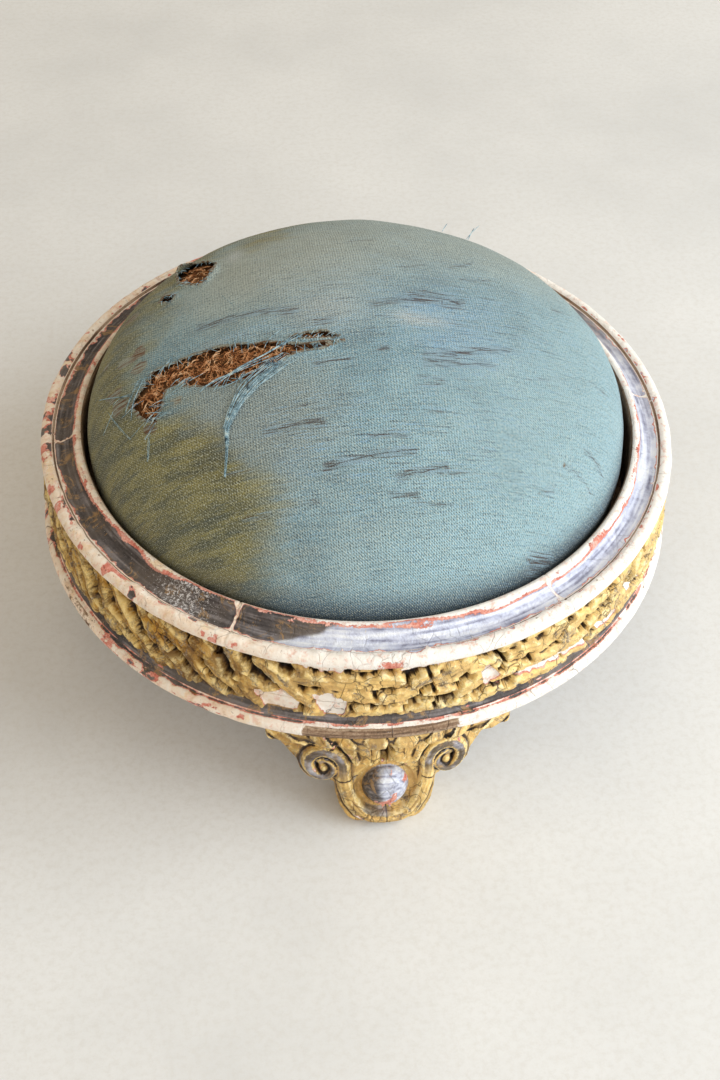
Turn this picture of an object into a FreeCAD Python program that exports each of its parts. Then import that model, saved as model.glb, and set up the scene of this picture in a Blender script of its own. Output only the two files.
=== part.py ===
import FreeCAD, Part
import math
import os
import re

import Sketcher

# Round carved footstool: a ring of two courses of felloes on three carved feet,
# with a domed, cloth-covered seat that drops into the ring. Millimetres, +Z up.
# The origin is on the floor, on the ring's axis. The front foot points along -Y.

doc = FreeCAD.newDocument("Footstool")
sheet = doc.addObject("Spreadsheet::Sheet", "Sizes")

SIZES = (
    # the ring
    ("felloe_count", 6, "felloes in each course"),
    ("opening_radius", 173.5, "wall of the well that the seat drops into"),
    ("frieze_wall", 24.0, "from the well to the carved band at its fullest, at the glue line"),
    ("rim_overhang", 2.5, "rim's outer bead past the carved band"),
    ("base_overhang", 7.5, "base bead past the carved band"),
    ("lower_course_height", 28.0, "from the base to the glue line"),
    ("upper_course_height", 46.0, "from the glue line to the top of the rim"),
    ("ledge_width", 18.0, "how far the lower course reaches in under the seat"),
    ("inner_bead_radius", 3.0, "half-round bead round the well"),
    ("outer_bead_radius", 4.5, "round bead on the rim's edge"),
    ("outer_bead_drop", 9.5, "outer bead's centre below the top of the rim"),
    ("cove_depth", 2.4, "hollow of the cove below its chord"),
    ("cove_flats", 4, "flats of the cove"),
    ("frieze_draw_in", 5.0, "how far the band draws in under the rim"),
    ("frieze_fullness", 1.6, "how far the band swells past its chord"),
    ("frieze_flats", 2, "flats of that swelling"),
    ("base_bead_radius", 5.0, "half-round bead at the foot of the ring"),
    ("fillet_height", 6.0, "sloped fillet above the base bead"),
    ("frieze_tuck", 1.5, "how far the band draws in above the fillet"),
    # the feet
    ("foot_count", 3, "feet under the ring"),
    ("foot_height", 93.0, "floor to the underside of the ring"),
    ("knee_setback", 2.0, "front of the foot under the ring, in from the base bead"),
    ("knee_height", 7.0, "upright part of the knee"),
    ("ankle_recess", 18.5, "ankle in from the knee"),
    ("ankle_drop", 32.0, "ankle below the ring"),
    ("toe_flare", 16.1, "toe out past the ankle"),
    ("toe_height", 6.0, "height of the toe's front edge"),
    ("toe_round", 4.0, "sole's front edge in from the toe"),
    ("sole_depth", 24.0, "flat sole, front to back"),
    ("foot_back_inset", 2.5, "back of the foot out from the ledge's edge"),
    ("knee_hollow", 3.0, "hollow between knee and ankle"),
    ("foot_back_hollow", 3.0, "hollow of the foot's back"),
    ("foot_flats", 3, "flats of each of those hollows"),
    ("sole_half_width", 12.0, "half of the flat sole"),
    ("lobe_half_width", 29.5, "half of the round lower lobe"),
    ("boss_height", 29.0, "centre of the boss above the floor"),
    ("boss_radius", 14.5, "round boss"),
    ("boss_rise", 9.0, "boss above the floor of its recess"),
    ("boss_tier_count", 2, "bevels that round the boss"),
    ("crest_share", 0.6, "how far the top bevel goes in towards a point"),
    ("recess_radius", 18.5, "recess round the boss"),
    ("recess_depth", 4.0, "recess below the foot's face"),
    ("collar_radius", 28.0, "outside of the collar round the recess"),
    ("collar_rise", 4.5, "collar above the foot's face"),
    ("collar_bevel", 3.0, "how far the collar's side slopes in"),
    ("carving_root", 3.0, "how far collar and leaves are rooted in the block"),
    ("carved_sides", 16, "flats that a chisel leaves round boss, collar and volutes"),
    ("volute_offset", 39.0, "centre of a volute from the middle of the foot"),
    ("volute_rise", 18.0, "centre of a volute above the boss, along the face"),
    ("volute_radius", 14.0, "outside of a volute"),
    ("volute_band", 3.4, "width of the scrolled band"),
    ("volute_pitch", 6.0, "from one turn of the band to the next"),
    ("volute_turns", 1.5, "turns of the band, from the outside in to the eye"),
    ("volute_relief", 3.0, "band above the drum that carries it"),
    ("volute_eye_radius", 3.2, "round eye of the volute"),
    ("wing_reach", 70.0, "tip of a wing from the middle of the foot"),
    ("wing_depth", 8.0, "depth of a wing at its tip"),
    ("lobe_share", 0.86, "fullness of the lower lobe's round"),
    ("wing_curl_share", 0.25, "how far the wing's lower edge curls in"),
    ("leaf_offset", 10.5, "middle of a leaf from the middle of the foot"),
    ("leaf_rise", 33.0, "middle of a leaf above the boss, along the face"),
    ("leaf_half_width", 8.5, "leaf"),
    ("leaf_half_height", 17.0, "leaf"),
    ("leaf_swell", 4.5, "leaf above the face"),
    ("leaf_bevel", 4.25, "how far the leaf's side slopes in"),
    ("leaf_flats", 4, "flats along each side of a leaf"),
    ("slot_width", 5.0, "slot between the two leaves"),
    ("slot_length", 16.0, "length of that slot"),
    ("slot_depth", 7.0, "depth of that slot"),
    # dowels between foot and ring
    ("trim_overrun", 10.0, "how far the cut round a foot runs past it"),
    ("dowel_radius", 5.0, "foot dowel"),
    ("dowel_length", 36.0, "half in the foot, half in the ring"),
    ("dowel_spread", 24.0, "dowel from the middle of the foot"),
    ("dowel_inset", 3.5, "dowels out from the wall of the well"),
    ("glue_film", 0.05, "round a dowel"),
    # the seat
    ("seat_rest_gap", 0.3, "cloth above the ledge"),
    ("cloth_gap", 0.2, "between cloth, stuffing and wood"),
    ("cloth_thickness", 1.5, "cover cloth"),
    ("seat_clearance", 7.5, "seat's wooden ring in from the wall of the well"),
    ("seat_ring_width", 34.0, "radial width of that ring"),
    ("seat_ring_thickness", 20.0, "height of that ring"),
    ("seat_ring_count", 4, "segments in that ring"),
    ("lap_length", 38.0, "half lap between two segments, at mid width"),
    ("cushion_clearance", 3.0, "cushion's widest part in from the wall of the well"),
    ("cushion_swell_height", 38.5, "widest part above the underside"),
    ("cushion_height", 126.5, "crown above the underside"),
    ("crown_side_radius", 61.0, "tight round at the cushion's side"),
    ("cushion_sides", 48, "flats that stand for the cushion's round"),
    ("crown_ring_count", 3, "rings of flats in each of the crown's two rounds"),
    ("flap_width", 26.0, "cloth turned in under the ring"),
    ("hessian_thickness", 1.0, "hessian over the webbing"),
    ("hessian_margin", 5.0, "hessian short of the ring's edge"),
    ("web_width", 50.0, "webbing"),
    ("web_thickness", 1.5, "webbing"),
    ("web_place_share", 0.463, "outer strips' middle lines, on the way from the axis to the strips' reach"),
    ("web_margin", 4.0, "strip's corners short of the ring's edge"),
    ("web_ease", 2.0, "flat past a crossing before a strip slopes"),
    ("tack_head_sides", 6, "corners of a tack's head"),
    ("tack_shank_sides", 4, "corners of its shank"),
    ("tack_head_radius", 3.5, "tack"),
    ("tack_head_height", 1.0, "tack"),
    ("tack_shank_radius", 1.2, "tack, to its corners"),
    ("tack_point_radius", 0.3, "tack, to its corners"),
    ("tack_length", 11.0, "shank below the head"),
    ("tack_inset", 5.0, "webbing tacks in from a strip's end"),
    ("tack_spread", 17.0, "from one webbing tack to the next"),
    ("cover_tack_count", 28, "tacks round the cover's flap"),
    ("cover_tack_inset", 8.0, "cover tacks in from the flap's edge"),
)

for row, (name, number, note) in enumerate(SIZES, start=1):
    sheet.set(f"A{row}", name)
    sheet.set(f"B{row}", str(number))
    sheet.setAlias(f"B{row}", name)
    sheet.set(f"C{row}", note)
doc.recompute()

# Sizes that follow from others. An expression may name them as it does the sheet's own.
WORKED_OUT = {
    "ledge_radius": "opening_radius - ledge_width",
    "frieze_radius": "opening_radius + frieze_wall",
    "rim_radius": "frieze_radius + rim_overhang",
    "base_radius": "frieze_radius + base_overhang",
    "knee_radius": "base_radius - knee_setback",
    "ankle_radius": "knee_radius - ankle_recess",
    "ankle_height": "foot_height - ankle_drop",
    "toe_radius": "ankle_radius + toe_flare",
    "sole_front_radius": "toe_radius - toe_round",
    "sole_back_radius": "sole_front_radius - sole_depth",
    "foot_back_radius": "ledge_radius + foot_back_inset",
    "dowel_circle": "opening_radius + dowel_inset",
    "seat_ring_radius": "opening_radius - seat_clearance",
    "seat_ring_inner": "seat_ring_radius - seat_ring_width",
    "cushion_radius": "opening_radius - cushion_clearance",
    "glue_line": "foot_height + lower_course_height",
    "ring_top": "glue_line + upper_course_height",
    "seat_base": "glue_line + seat_rest_gap",
    "wood_base": "seat_base + cloth_thickness + cloth_gap",
    "wood_top": "wood_base + seat_ring_thickness",
    "web_reach": "seat_ring_radius - web_margin",
    "web_spacing": "web_reach * web_place_share",
    "web_lift": "web_thickness + cloth_gap",
    "hessian_base": "wood_top + 2 * web_lift",
    "hessian_top": "hessian_base + hessian_thickness",
    "hessian_radius": "seat_ring_radius - hessian_margin",
    "stuffing_base": "wood_top + cloth_gap",
    "cloth_side": "seat_ring_radius + cloth_gap + cloth_thickness",
    "flap_inner": "cloth_side - flap_width",
    "swell_height": "seat_base + cushion_swell_height",
    "crown_height": "seat_base + cushion_height",
    "felloe_turn": "360 deg / felloe_count",
    "foot_turn": "360 deg / foot_count",
}


def any_of(names):
    return re.compile(r"\b(" + "|".join(names) + r")\b")


WORKED_NAME = any_of(WORKED_OUT)
SHEET_NAME = any_of(name for name, _, _ in SIZES)


def in_sheet(expression):
    """The same expression in the sheet's names alone."""
    while WORKED_NAME.search(expression):
        expression = WORKED_NAME.sub(lambda found: f"({WORKED_OUT[found.group(1)]})", expression)
    return SHEET_NAME.sub(r"Sizes.\1", expression)


def value(expression):
    number = sheet.evalExpression(in_sheet(expression))
    return float(getattr(number, "Value", number))


def bind(thing, prop, expression):
    thing.setExpression(prop, in_sheet(expression))


def new_body(name):
    body = doc.addObject("PartDesign::Body", name)
    body.Label = name
    return body


def new_sketch(body, name, plane_role, support_shift=None):
    """A sketch on one of the body's own origin planes, moved along its normal by an expression."""
    sketch = body.newObject("Sketcher::SketchObject", name)
    plane = next(f for f in body.Origin.OriginFeatures if f.Role == plane_role)
    sketch.AttachmentSupport = [(plane, "")]
    sketch.MapMode = "FlatFace"
    if support_shift:
        bind(sketch, "AttachmentOffset.Base.z", support_shift)
    return sketch


def spot(place):
    return FreeCAD.Vector(value(place[0]), value(place[1]), 0)


def pins(geometry, end, place):
    """Hold one point of a sketch at two expressions; a plain 0 puts it on that axis."""
    held = []
    for kind, axis, expression in (("DistanceX", -2, place[0]), ("DistanceY", -1, place[1])):
        if expression == "0":
            held.append((Sketcher.Constraint("PointOnObject", geometry, end, axis), None))
            continue
        distance = Sketcher.Constraint(kind, -1, 1, geometry, end, value(expression))
        held.append((distance, expression))
    return held


def hold(sketch, held):
    """Give a sketch its constraints all at once, then bind each one that has an expression."""
    first = sketch.ConstraintCount
    sketch.addConstraint([constraint for constraint, _ in held])
    for index, (_, expression) in enumerate(held, start=first):
        if expression:
            bind(sketch, f"Constraints[{index}]", expression)


def outline(sketch, corners):
    """A closed outline. A corner is (x, y), or (x, y, through) where an arc leads on through that point."""
    ends, held = [], []
    count = len(corners)
    for index, corner in enumerate(corners):
        following = corners[(index + 1) % count]
        start, finish = spot(corner), spot(following)
        if len(corner) == 2:
            edge = sketch.addGeometry(Part.LineSegment(start, finish))
            ends.append((edge, 1, 2))
            continue
        through = spot(corner[2])
        anticlockwise = (through - start).cross(finish - start).z > 0
        first, last = (start, finish) if anticlockwise else (finish, start)
        edge = sketch.addGeometry(Part.Arc(first, through, last))
        ends.append((edge, 1, 2) if anticlockwise else (edge, 2, 1))
        guide = sketch.addGeometry(Part.Point(through), True)
        held += pins(guide, 1, corner[2])
        held.append((Sketcher.Constraint("PointOnObject", guide, 1, edge), None))
    for index, (edge, first, last) in enumerate(ends):
        after, after_first, _ = ends[(index + 1) % count]
        held += pins(edge, first, corners[index])
        held.append((Sketcher.Constraint("Coincident", edge, last, after, after_first), None))
    hold(sketch, held)


def circle(sketch, centre, radius):
    ring = sketch.addGeometry(Part.Circle(spot(centre), FreeCAD.Vector(0, 0, 1), value(radius)))
    size = Sketcher.Constraint("Radius", ring, value(radius))
    hold(sketch, pins(ring, 3, centre) + [(size, radius)])


def turned(body, name, sketch, degrees, midplane=True):
    """Turn an outline about the ring's axis."""
    revolution = body.newObject("PartDesign::Revolution", name)
    revolution.Profile = sketch
    revolution.ReferenceAxis = (sketch, ["V_Axis"])
    revolution.Midplane = midplane
    revolution.Angle = value(degrees)
    bind(revolution, "Angle", degrees)
    return revolution


def extruded(body, kind, name, sketch, length, reverse=False, midplane=False):
    feature = body.newObject(f"PartDesign::{kind}", name)
    feature.Profile = sketch
    feature.Length = value(length)
    bind(feature, "Length", length)
    feature.Reversed = reverse
    feature.Midplane = midplane
    return feature


def turn_about_axis(body, degrees):
    """Stand a piece round the ring's axis, which is also the origin's."""
    start = FreeCAD.Rotation(FreeCAD.Vector(0, 0, 1), value(degrees) or 360)
    body.Placement = FreeCAD.Placement(FreeCAD.Vector(), start)
    bind(body, "Placement.Rotation.Angle", degrees)


def middle(first, second):
    return f"(({first}) + ({second})) / 2"


BEAD_FLAT = 60


def bead(across, height, radius, first, last):
    """Corners of a bead cut in flats of 60 degrees, from one direction round to another, in degrees."""
    step = BEAD_FLAT if last > first else -BEAD_FLAT
    return [
        (f"{across} + {radius} * cos({turn} deg)", f"{height} + {radius} * sin({turn} deg)")
        for turn in range(first, last + step, step)
    ]


def bowed(start, finish, bow_across, bow_up, flat_count):
    """Corners between two points, on a shallow curve that bows away from their chord at its middle."""
    corners = []
    steps = int(value(flat_count))
    for step in range(1, steps):
        share = step / steps
        bow = 4 * share * (1 - share)
        across = f"({start[0]}) + (({finish[0]}) - ({start[0]})) * {share}"
        height = f"({start[1]}) + (({finish[1]}) - ({start[1]})) * {share}"
        corners.append((f"{across} + {bow_across} * {bow}", f"{height} + {bow_up} * {bow}"))
    return corners


# Upper course: beads, cove and the upper part of the carved band.
def upper_outline():
    inner_height = f"(ring_top - inner_bead_radius * sin({BEAD_FLAT} deg))"
    outer_middle = f"(rim_radius - outer_bead_radius * cos({BEAD_FLAT} deg / 2))"
    outer_height = "(ring_top - outer_bead_drop)"
    inner_bead = bead("(opening_radius + inner_bead_radius)", inner_height, "inner_bead_radius", 180, 0)
    outer_bead = bead(outer_middle, outer_height, "outer_bead_radius", 150, -90)
    frieze_start = ("(frieze_radius - frieze_draw_in)", outer_bead[-1][1])
    frieze_end = ("frieze_radius", "glue_line")
    return [
        ("opening_radius", "glue_line"),
        *inner_bead,
        *bowed(inner_bead[-1], outer_bead[0], "0", "(-cove_depth)", "cove_flats"),
        *outer_bead,
        frieze_start,
        *bowed(frieze_start, frieze_end, "frieze_fullness", "0", "frieze_flats"),
        frieze_end,
    ]


# Lower course: ledge for the seat, lower part of the band, fillet and base bead.
def lower_outline():
    bead_middle = f"(base_radius - base_bead_radius * cos({BEAD_FLAT} deg / 2))"
    base_bead = bead(bead_middle, "(foot_height + base_bead_radius)", "base_bead_radius", -90, 90)
    return [
        ("ledge_radius", "foot_height"),
        *base_bead,
        ("frieze_radius - frieze_tuck", f"{base_bead[-1][1]} + fillet_height"),
        ("frieze_radius", "glue_line"),
        ("ledge_radius", "glue_line"),
    ]


def felloe(name, points, degrees):
    body = new_body(name)
    profile = new_sketch(body, f"{name}_profile", "XZ_Plane")
    outline(profile, points)
    turned(body, f"{name}_turned", profile, "felloe_turn")
    turn_about_axis(body, degrees)
    return body


def bore_for_foot(body, name, side):
    """Blind bore from below, near the end that meets its neighbour over a foot."""
    reach = "sqrt(dowel_circle * dowel_circle + dowel_spread * dowel_spread)"
    off_end = "(180 deg / felloe_count - atan2(dowel_spread; dowel_circle))"
    sketch = new_sketch(body, f"{name}_bore_outline", "XY_Plane", "foot_height")
    place = (f"{reach} * cos({off_end})", f"{side} * {reach} * sin({off_end})")
    circle(sketch, place, "dowel_radius + glue_film")
    depth = "dowel_length / 2"
    extruded(body, "Pocket", f"{name}_bore", sketch, depth, reverse=True)


felloe_count = int(value("felloe_count"))
FRONT = "-90 deg"

for index in range(felloe_count):
    name = f"upper_felloe_{index + 1}"
    felloe(name, upper_outline(), f"{FRONT} + {index} * felloe_turn")

for index in range(felloe_count):
    name = f"lower_felloe_{index + 1}"
    ring_piece = felloe(name, lower_outline(), f"{FRONT} + ({index} + 0.5) * felloe_turn")
    bore_for_foot(ring_piece, name, -1 if index % 2 == 0 else 1)


# Feet: an S-shaped block, trimmed to its outline, with boss, collar, leaves and volutes.
FACE_TILT = "atan2(toe_radius - ankle_radius; ankle_height - toe_height)"
FACE_RADIUS = (
    "(ankle_radius + (toe_radius - ankle_radius)"
    " * (ankle_height - boss_height) / (ankle_height - toe_height))"
)


def on_face(thing, lift, across="0", up="0"):
    """Lay a sketch or a primitive on the foot's leaning face: from the boss, across, up the face and out."""
    lean = FreeCAD.Rotation(FreeCAD.Vector(-1, 0, 0), value(FACE_TILT))
    thing.AttachmentOffset = FreeCAD.Placement(FreeCAD.Vector(), lean)
    bind(thing, "AttachmentOffset.Rotation.Angle", FACE_TILT)
    bind(thing, "AttachmentOffset.Base.x", across)
    height = f"boss_height + ({lift}) * sin({FACE_TILT}) + ({up}) * cos({FACE_TILT})"
    bind(thing, "AttachmentOffset.Base.y", height)
    depth = f"{FACE_RADIUS} + ({lift}) * cos({FACE_TILT}) - ({up}) * sin({FACE_TILT})"
    bind(thing, "AttachmentOffset.Base.z", depth)


def foot_side():
    """The foot's section on its middle, x being minus the radius."""
    knee = ("-knee_radius", "foot_height - knee_height")
    ankle = ("-ankle_radius", "ankle_height")
    heel, heel_top = ("-sole_back_radius", "0"), ("-foot_back_radius", "foot_height")
    return [
        heel_top,
        ("-knee_radius", "foot_height"),
        knee,
        *bowed(knee, ankle, "knee_hollow", "0", "foot_flats"),
        ankle,
        ("-toe_radius", "toe_height"),
        ("-sole_front_radius", "0"),
        heel,
        *bowed(heel, heel_top, "(-foot_back_hollow)", "0", "foot_flats"),
    ]


def foot_front_outline():
    """The foot seen from the front: toe, round lobe, volute and wing on the right, then the left."""
    volute_height = f"(boss_height + volute_rise * cos({FACE_TILT}))"
    overlap = "(volute_offset - lobe_half_width)"
    meet_height = f"({volute_height} - sqrt(volute_radius^2 - {overlap}^2))"
    wing_root = "(volute_offset + volute_radius * sqrt(0.9))"
    wing_root_height = f"({volute_height} + volute_radius * sqrt(0.1))"
    half = [
        ("sole_half_width", "0", ("lobe_half_width * lobe_share", "boss_height * lobe_share / 2")),
        (
            "lobe_half_width",
            meet_height,
            (
                "volute_offset + volute_radius * sqrt(0.5)",
                f"{volute_height} - volute_radius * sqrt(0.5)",
            ),
        ),
        (
            wing_root,
            wing_root_height,
            (
                f"{wing_root} + (wing_reach - {wing_root}) * wing_curl_share",
                middle(wing_root_height, "foot_height"),
            ),
        ),
        ("wing_reach", "foot_height - wing_depth"),
        ("wing_reach", "foot_height"),
    ]
    left = []
    for index in range(len(half) - 1, -1, -1):
        place = (f"-({half[index][0]})", half[index][1])
        before = half[index - 1] if index else ()
        if len(before) == 3:
            through = before[2]
            place += ((f"-({through[0]})", through[1]),)
        left.append(place)
    return half + left


def flats(radius, sign=0):
    """Corners of a round cut in flats, about the boss or, with a sign, about that side's volute."""
    sides = int(value("carved_sides"))
    centre = (f"{sign} * volute_offset", "volute_rise") if sign else ("0", "0")
    return [
        (
            f"{centre[0]} + ({radius}) * cos({index} * 360 deg / carved_sides)",
            f"{centre[1]} + ({radius}) * sin({index} * 360 deg / carved_sides)",
        )
        for index in range(sides)
    ]


def spiral_band(sign):
    """The scrolled band: it leaves the inner side of the volute and winds over the top in to the eye."""
    count = int(value("carved_sides * volute_turns"))
    edges = []
    for shrink in ("0", "volute_band"):
        edge = []
        for index in range(count + 1):
            around = f"({index} * 360 deg / carved_sides)"
            radius = f"(volute_radius - {shrink} - volute_pitch * {index} / carved_sides)"
            across = f"{sign} * (volute_offset - {radius} * cos{around})"
            edge.append((across, f"volute_rise + {radius} * sin{around}"))
        edges.append(edge)
    return edges[0] + edges[1][::-1]


def leaf_outline(sign):
    """A pointed oval, upright beside the slot, as wide at its root as its sloping sides make it."""
    middle_line = f"{sign} * leaf_offset"
    spread = "leaf_bevel * carving_root / leaf_swell"
    tip, end = ("0", f"(leaf_half_height + {spread})"), ("0", f"-(leaf_half_height + {spread})")
    half = bowed(end, tip, f"(leaf_half_width + {spread})", "0", "leaf_flats")
    corners = [end, *half, tip]
    corners += [(f"-({across})", height) for across, height in half[::-1]]
    return [(f"{middle_line} + {across}", f"leaf_rise + {height}") for across, height in corners]


def carved(body, kind, name, corners, lift, length, bevel=None):
    """An outline on the foot's leaning face, raised from a lift or cut down from it, its sides sloping in."""
    sketch = new_sketch(body, f"{name}_outline", "XZ_Plane")
    outline(sketch, corners)
    on_face(sketch, lift)
    feature = extruded(body, kind, name, sketch, length)
    if bevel:
        slope = f"-atan2({bevel}; {length})"
        feature.TaperAngle = value(slope)
        bind(feature, "TaperAngle", slope)
    return feature


def boss_tiers(body, name):
    """The boss: tiers of flats, each drawn in and lower than the one below, on a round profile."""
    tiers = int(value("boss_tier_count"))
    for tier in range(tiers):
        low, high = f"({tier} * 90 deg / boss_tier_count)", f"({tier + 1} * 90 deg / boss_tier_count)"
        outside = f"boss_radius * cos{low}"
        drawn_in = f"(boss_radius * (cos{low} - cos{high}))"
        if tier == tiers - 1:
            drawn_in = f"({drawn_in} * crest_share)"
        lift = f"boss_rise * sin{low} - recess_depth"
        rise = f"(boss_rise * (sin{high} - sin{low}))"
        carved(body, "Pad", f"{name}_boss_{tier + 1}", flats(outside), lift, rise, drawn_in)


def foot(name, degrees):
    body = new_body(name)
    side = new_sketch(body, f"{name}_side", "YZ_Plane")
    outline(side, foot_side())
    sweep = "2 * atan2(wing_reach + wing_depth; foot_back_radius)"
    turned(body, f"{name}_block", side, sweep)

    root = "(-carving_root)"
    collar = flats("collar_radius + collar_bevel * carving_root / collar_rise")
    rise = "(collar_rise + carving_root)"
    slope_in = f"(collar_bevel * {rise} / collar_rise)"
    carved(body, "Pad", f"{name}_collar", collar, root, rise, slope_in)
    deep = "(collar_rise + recess_depth)"
    carved(body, "Pocket", f"{name}_recess", flats("recess_radius"), "collar_rise", deep)
    boss_tiers(body, name)

    for side, sign in (("left", "-1"), ("right", "1")):
        leaf = leaf_outline(sign)
        rise = "(leaf_swell + carving_root)"
        slope_in = f"(leaf_bevel * {rise} / leaf_swell)"
        carved(body, "Pad", f"{name}_{side}_leaf", leaf, root, rise, slope_in)
        drum = flats("volute_radius", sign)
        carved(body, "Pad", f"{name}_{side}_drum", drum, "-volute_radius", "volute_radius")
        band = spiral_band(sign)
        carved(body, "Pad", f"{name}_{side}_band", band, "0", "volute_relief")
        eye = flats("volute_eye_radius", sign)
        carved(body, "Pad", f"{name}_{side}_eye", eye, "0", "volute_relief")

    low = "recess_radius"
    slot = [
        ("-slot_width / 2", low),
        ("slot_width / 2", low),
        ("slot_width / 2", f"{low} + slot_length"),
        ("-slot_width / 2", f"{low} + slot_length"),
    ]
    carved(body, "Pocket", f"{name}_slot", slot, "leaf_swell", "leaf_swell + slot_depth")

    trim = new_sketch(body, f"{name}_trim_outline", "XZ_Plane")
    outline(trim, foot_front_outline())
    edge = "base_radius"
    outline(
        trim,
        [
            (f"-{edge}", "-trim_overrun"),
            (edge, "-trim_overrun"),
            (edge, "foot_height + trim_overrun"),
            (f"-{edge}", "foot_height + trim_overrun"),
        ],
    )
    extruded(body, "Pocket", f"{name}_trim", trim, "base_radius + trim_overrun", reverse=True)

    bores = new_sketch(body, f"{name}_bore_outline", "XY_Plane", "foot_height")
    for sign in ("-", ""):
        circle(bores, (f"{sign}dowel_spread", "-dowel_circle"), "dowel_radius + glue_film")
    extruded(body, "Pocket", f"{name}_bores", bores, "dowel_length / 2")
    turn_about_axis(body, degrees)
    return body


foot_count = int(value("foot_count"))
FOOT_NAMES = ("foot_front", "foot_back_right", "foot_back_left")
for index in range(foot_count):
    name = FOOT_NAMES[index] if foot_count == len(FOOT_NAMES) else f"foot_{index + 1}"
    foot(name, f"{index} * foot_turn")


# Two dowels in each foot, one into each of the two felloes that meet over it.
def group(name, solids):
    compound = doc.addObject("Part::Compound", name)
    compound.Label = name
    compound.Links = solids
    return compound


def foot_dowels():
    reach = "sqrt(dowel_circle^2 + dowel_spread^2)"
    off_middle = "atan2(dowel_spread; dowel_circle)"
    dowels = []
    for index in range(foot_count):
        for sign in ("-", "+"):
            dowel = doc.addObject("Part::Cylinder", f"dowel_{len(dowels) + 1}")
            around = f"({FRONT} + {index} * foot_turn {sign} {off_middle})"
            bind(dowel, "Radius", "dowel_radius")
            bind(dowel, "Height", "dowel_length")
            bind(dowel, "Placement.Base.x", f"{reach} * cos({around})")
            bind(dowel, "Placement.Base.y", f"{reach} * sin({around})")
            bind(dowel, "Placement.Base.z", "foot_height - dowel_length / 2")
            dowels.append(dowel)
    return group("foot_dowels", dowels)


foot_dowels()


# The seat's wooden ring: segments joined by half laps.
def seat_ring_segment(name, degrees):
    body = new_body(name)
    half_height = middle("wood_base", "wood_top")
    lap_turn = f"(lap_length / (seat_ring_radius - seat_ring_width / 2) * 180 deg / {math.pi})"
    sweep = "360 deg / seat_ring_count"
    for level, low, high in (("lower", "wood_base", half_height), ("upper", half_height, "wood_top")):
        sketch = new_sketch(body, f"{name}_{level}_outline", "XZ_Plane")
        outline(
            sketch,
            [
                ("seat_ring_inner", low),
                ("seat_ring_radius", low),
                ("seat_ring_radius", high),
                ("seat_ring_inner", high),
            ],
        )
        if level == "upper":
            lap = FreeCAD.Rotation(FreeCAD.Vector(0, 1, 0), value(lap_turn))
            sketch.AttachmentOffset = FreeCAD.Placement(FreeCAD.Vector(), lap)
            bind(sketch, "AttachmentOffset.Rotation.Angle", lap_turn)
        turned(body, f"{name}_{level}", sketch, sweep, midplane=False)
    turn_about_axis(body, degrees)
    return body


seat_ring_count = int(value("seat_ring_count"))
for index in range(seat_ring_count):
    seat_ring_segment(f"seat_ring_{index + 1}", f"{index} * 360 deg / seat_ring_count")


# Webbing: three strips each way, woven over and under each other, tacked on the ring.
STRIPS = (-1, 0, 1)


def strip_half_length(place):
    return f"sqrt(web_reach^2 - ({abs(place)} * web_spacing + web_width / 2)^2)"


def strip_outline(place, first_over):
    """The strip from its side: flat at each crossing, sloping between them."""
    half_flat = "(web_width / 2 + web_ease)"
    end = strip_half_length(place)
    under = [(f"-{end}", "low")]
    if first_over:
        under.append((f"{STRIPS[0] - 1} * web_spacing + {half_flat}", "low"))
    for crossing in STRIPS:
        over = (crossing - STRIPS[0]) % 2 == (0 if first_over else 1)
        level = "high" if over else "low"
        under.append((f"{crossing} * web_spacing - {half_flat}", level))
        under.append((f"{crossing} * web_spacing + {half_flat}", level))
    if under[-1][1] == "high":
        under.append((f"{STRIPS[-1] + 1} * web_spacing - {half_flat}", "low"))
    under.append((end, "low"))
    heights = {"low": "wood_top", "high": "wood_top + web_lift"}
    below = [(x, heights[level]) for x, level in under]
    above = [(x, f"{heights[level]} + web_thickness") for x, level in reversed(under)]
    return below + above


def webbing(name, place, along):
    body = new_body(name)
    sketch = new_sketch(body, f"{name}_side", "XZ_Plane")
    outline(sketch, strip_outline(place, (place + along) % 2 == 0))
    extruded(body, "Pad", f"{name}_strip", sketch, "web_width", midplane=True)
    turn_about_axis(body, f"{along} * 90 deg")
    bind(body, "Placement.Base.x" if along else "Placement.Base.y", f"{place} * web_spacing")
    return body


for number, place in enumerate(STRIPS, start=1):
    webbing(f"webbing_across_{number}", place, 0)
    webbing(f"webbing_along_{number}", place, 1)


# Tacks, point down through the webbing, and point up through the cover's flap.
def ring_of_points(sides, radius, centre):
    turns = [2 * math.pi * index / sides for index in range(sides + 1)]
    offsets = [FreeCAD.Vector(radius * math.cos(turn), radius * math.sin(turn), 0) for turn in turns]
    return Part.Wire(Part.makePolygon([centre + offset for offset in offsets]))


def tack(place, point):
    """A cut tack whose head lies on the given place, its square shank tapering along point."""
    head_sides, shank_sides = int(value("tack_head_sides")), int(value("tack_shank_sides"))
    head = Part.Face(ring_of_points(head_sides, value("tack_head_radius"), place))
    top = ring_of_points(shank_sides, value("tack_shank_radius"), place)
    far = place + point * value("tack_length")
    tip = ring_of_points(shank_sides, value("tack_point_radius"), far)
    shank = Part.makeLoft([top, tip], True, True)
    return shank.fuse(head.extrude(-point * value("tack_head_height")))


def tack_group(name, tacks):
    feature = doc.addObject("Part::Feature", name)
    feature.Label = name
    feature.Shape = Part.makeCompound(tacks)
    return feature


def webbing_tacks():
    down = FreeCAD.Vector(0, 0, -1)
    level = value("wood_top + web_thickness")
    tacks = []
    for place in STRIPS:
        reach = value(f"{strip_half_length(place)} - tack_inset")
        middle_line = place * value("web_spacing")
        for end in (-reach, reach):
            for across in (-1, 0, 1):
                side = middle_line + across * value("tack_spread")
                tacks.append(tack(FreeCAD.Vector(end, side, level), down))
                tacks.append(tack(FreeCAD.Vector(side, end, level), down))
    return tack_group("webbing_tacks", tacks)


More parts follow.
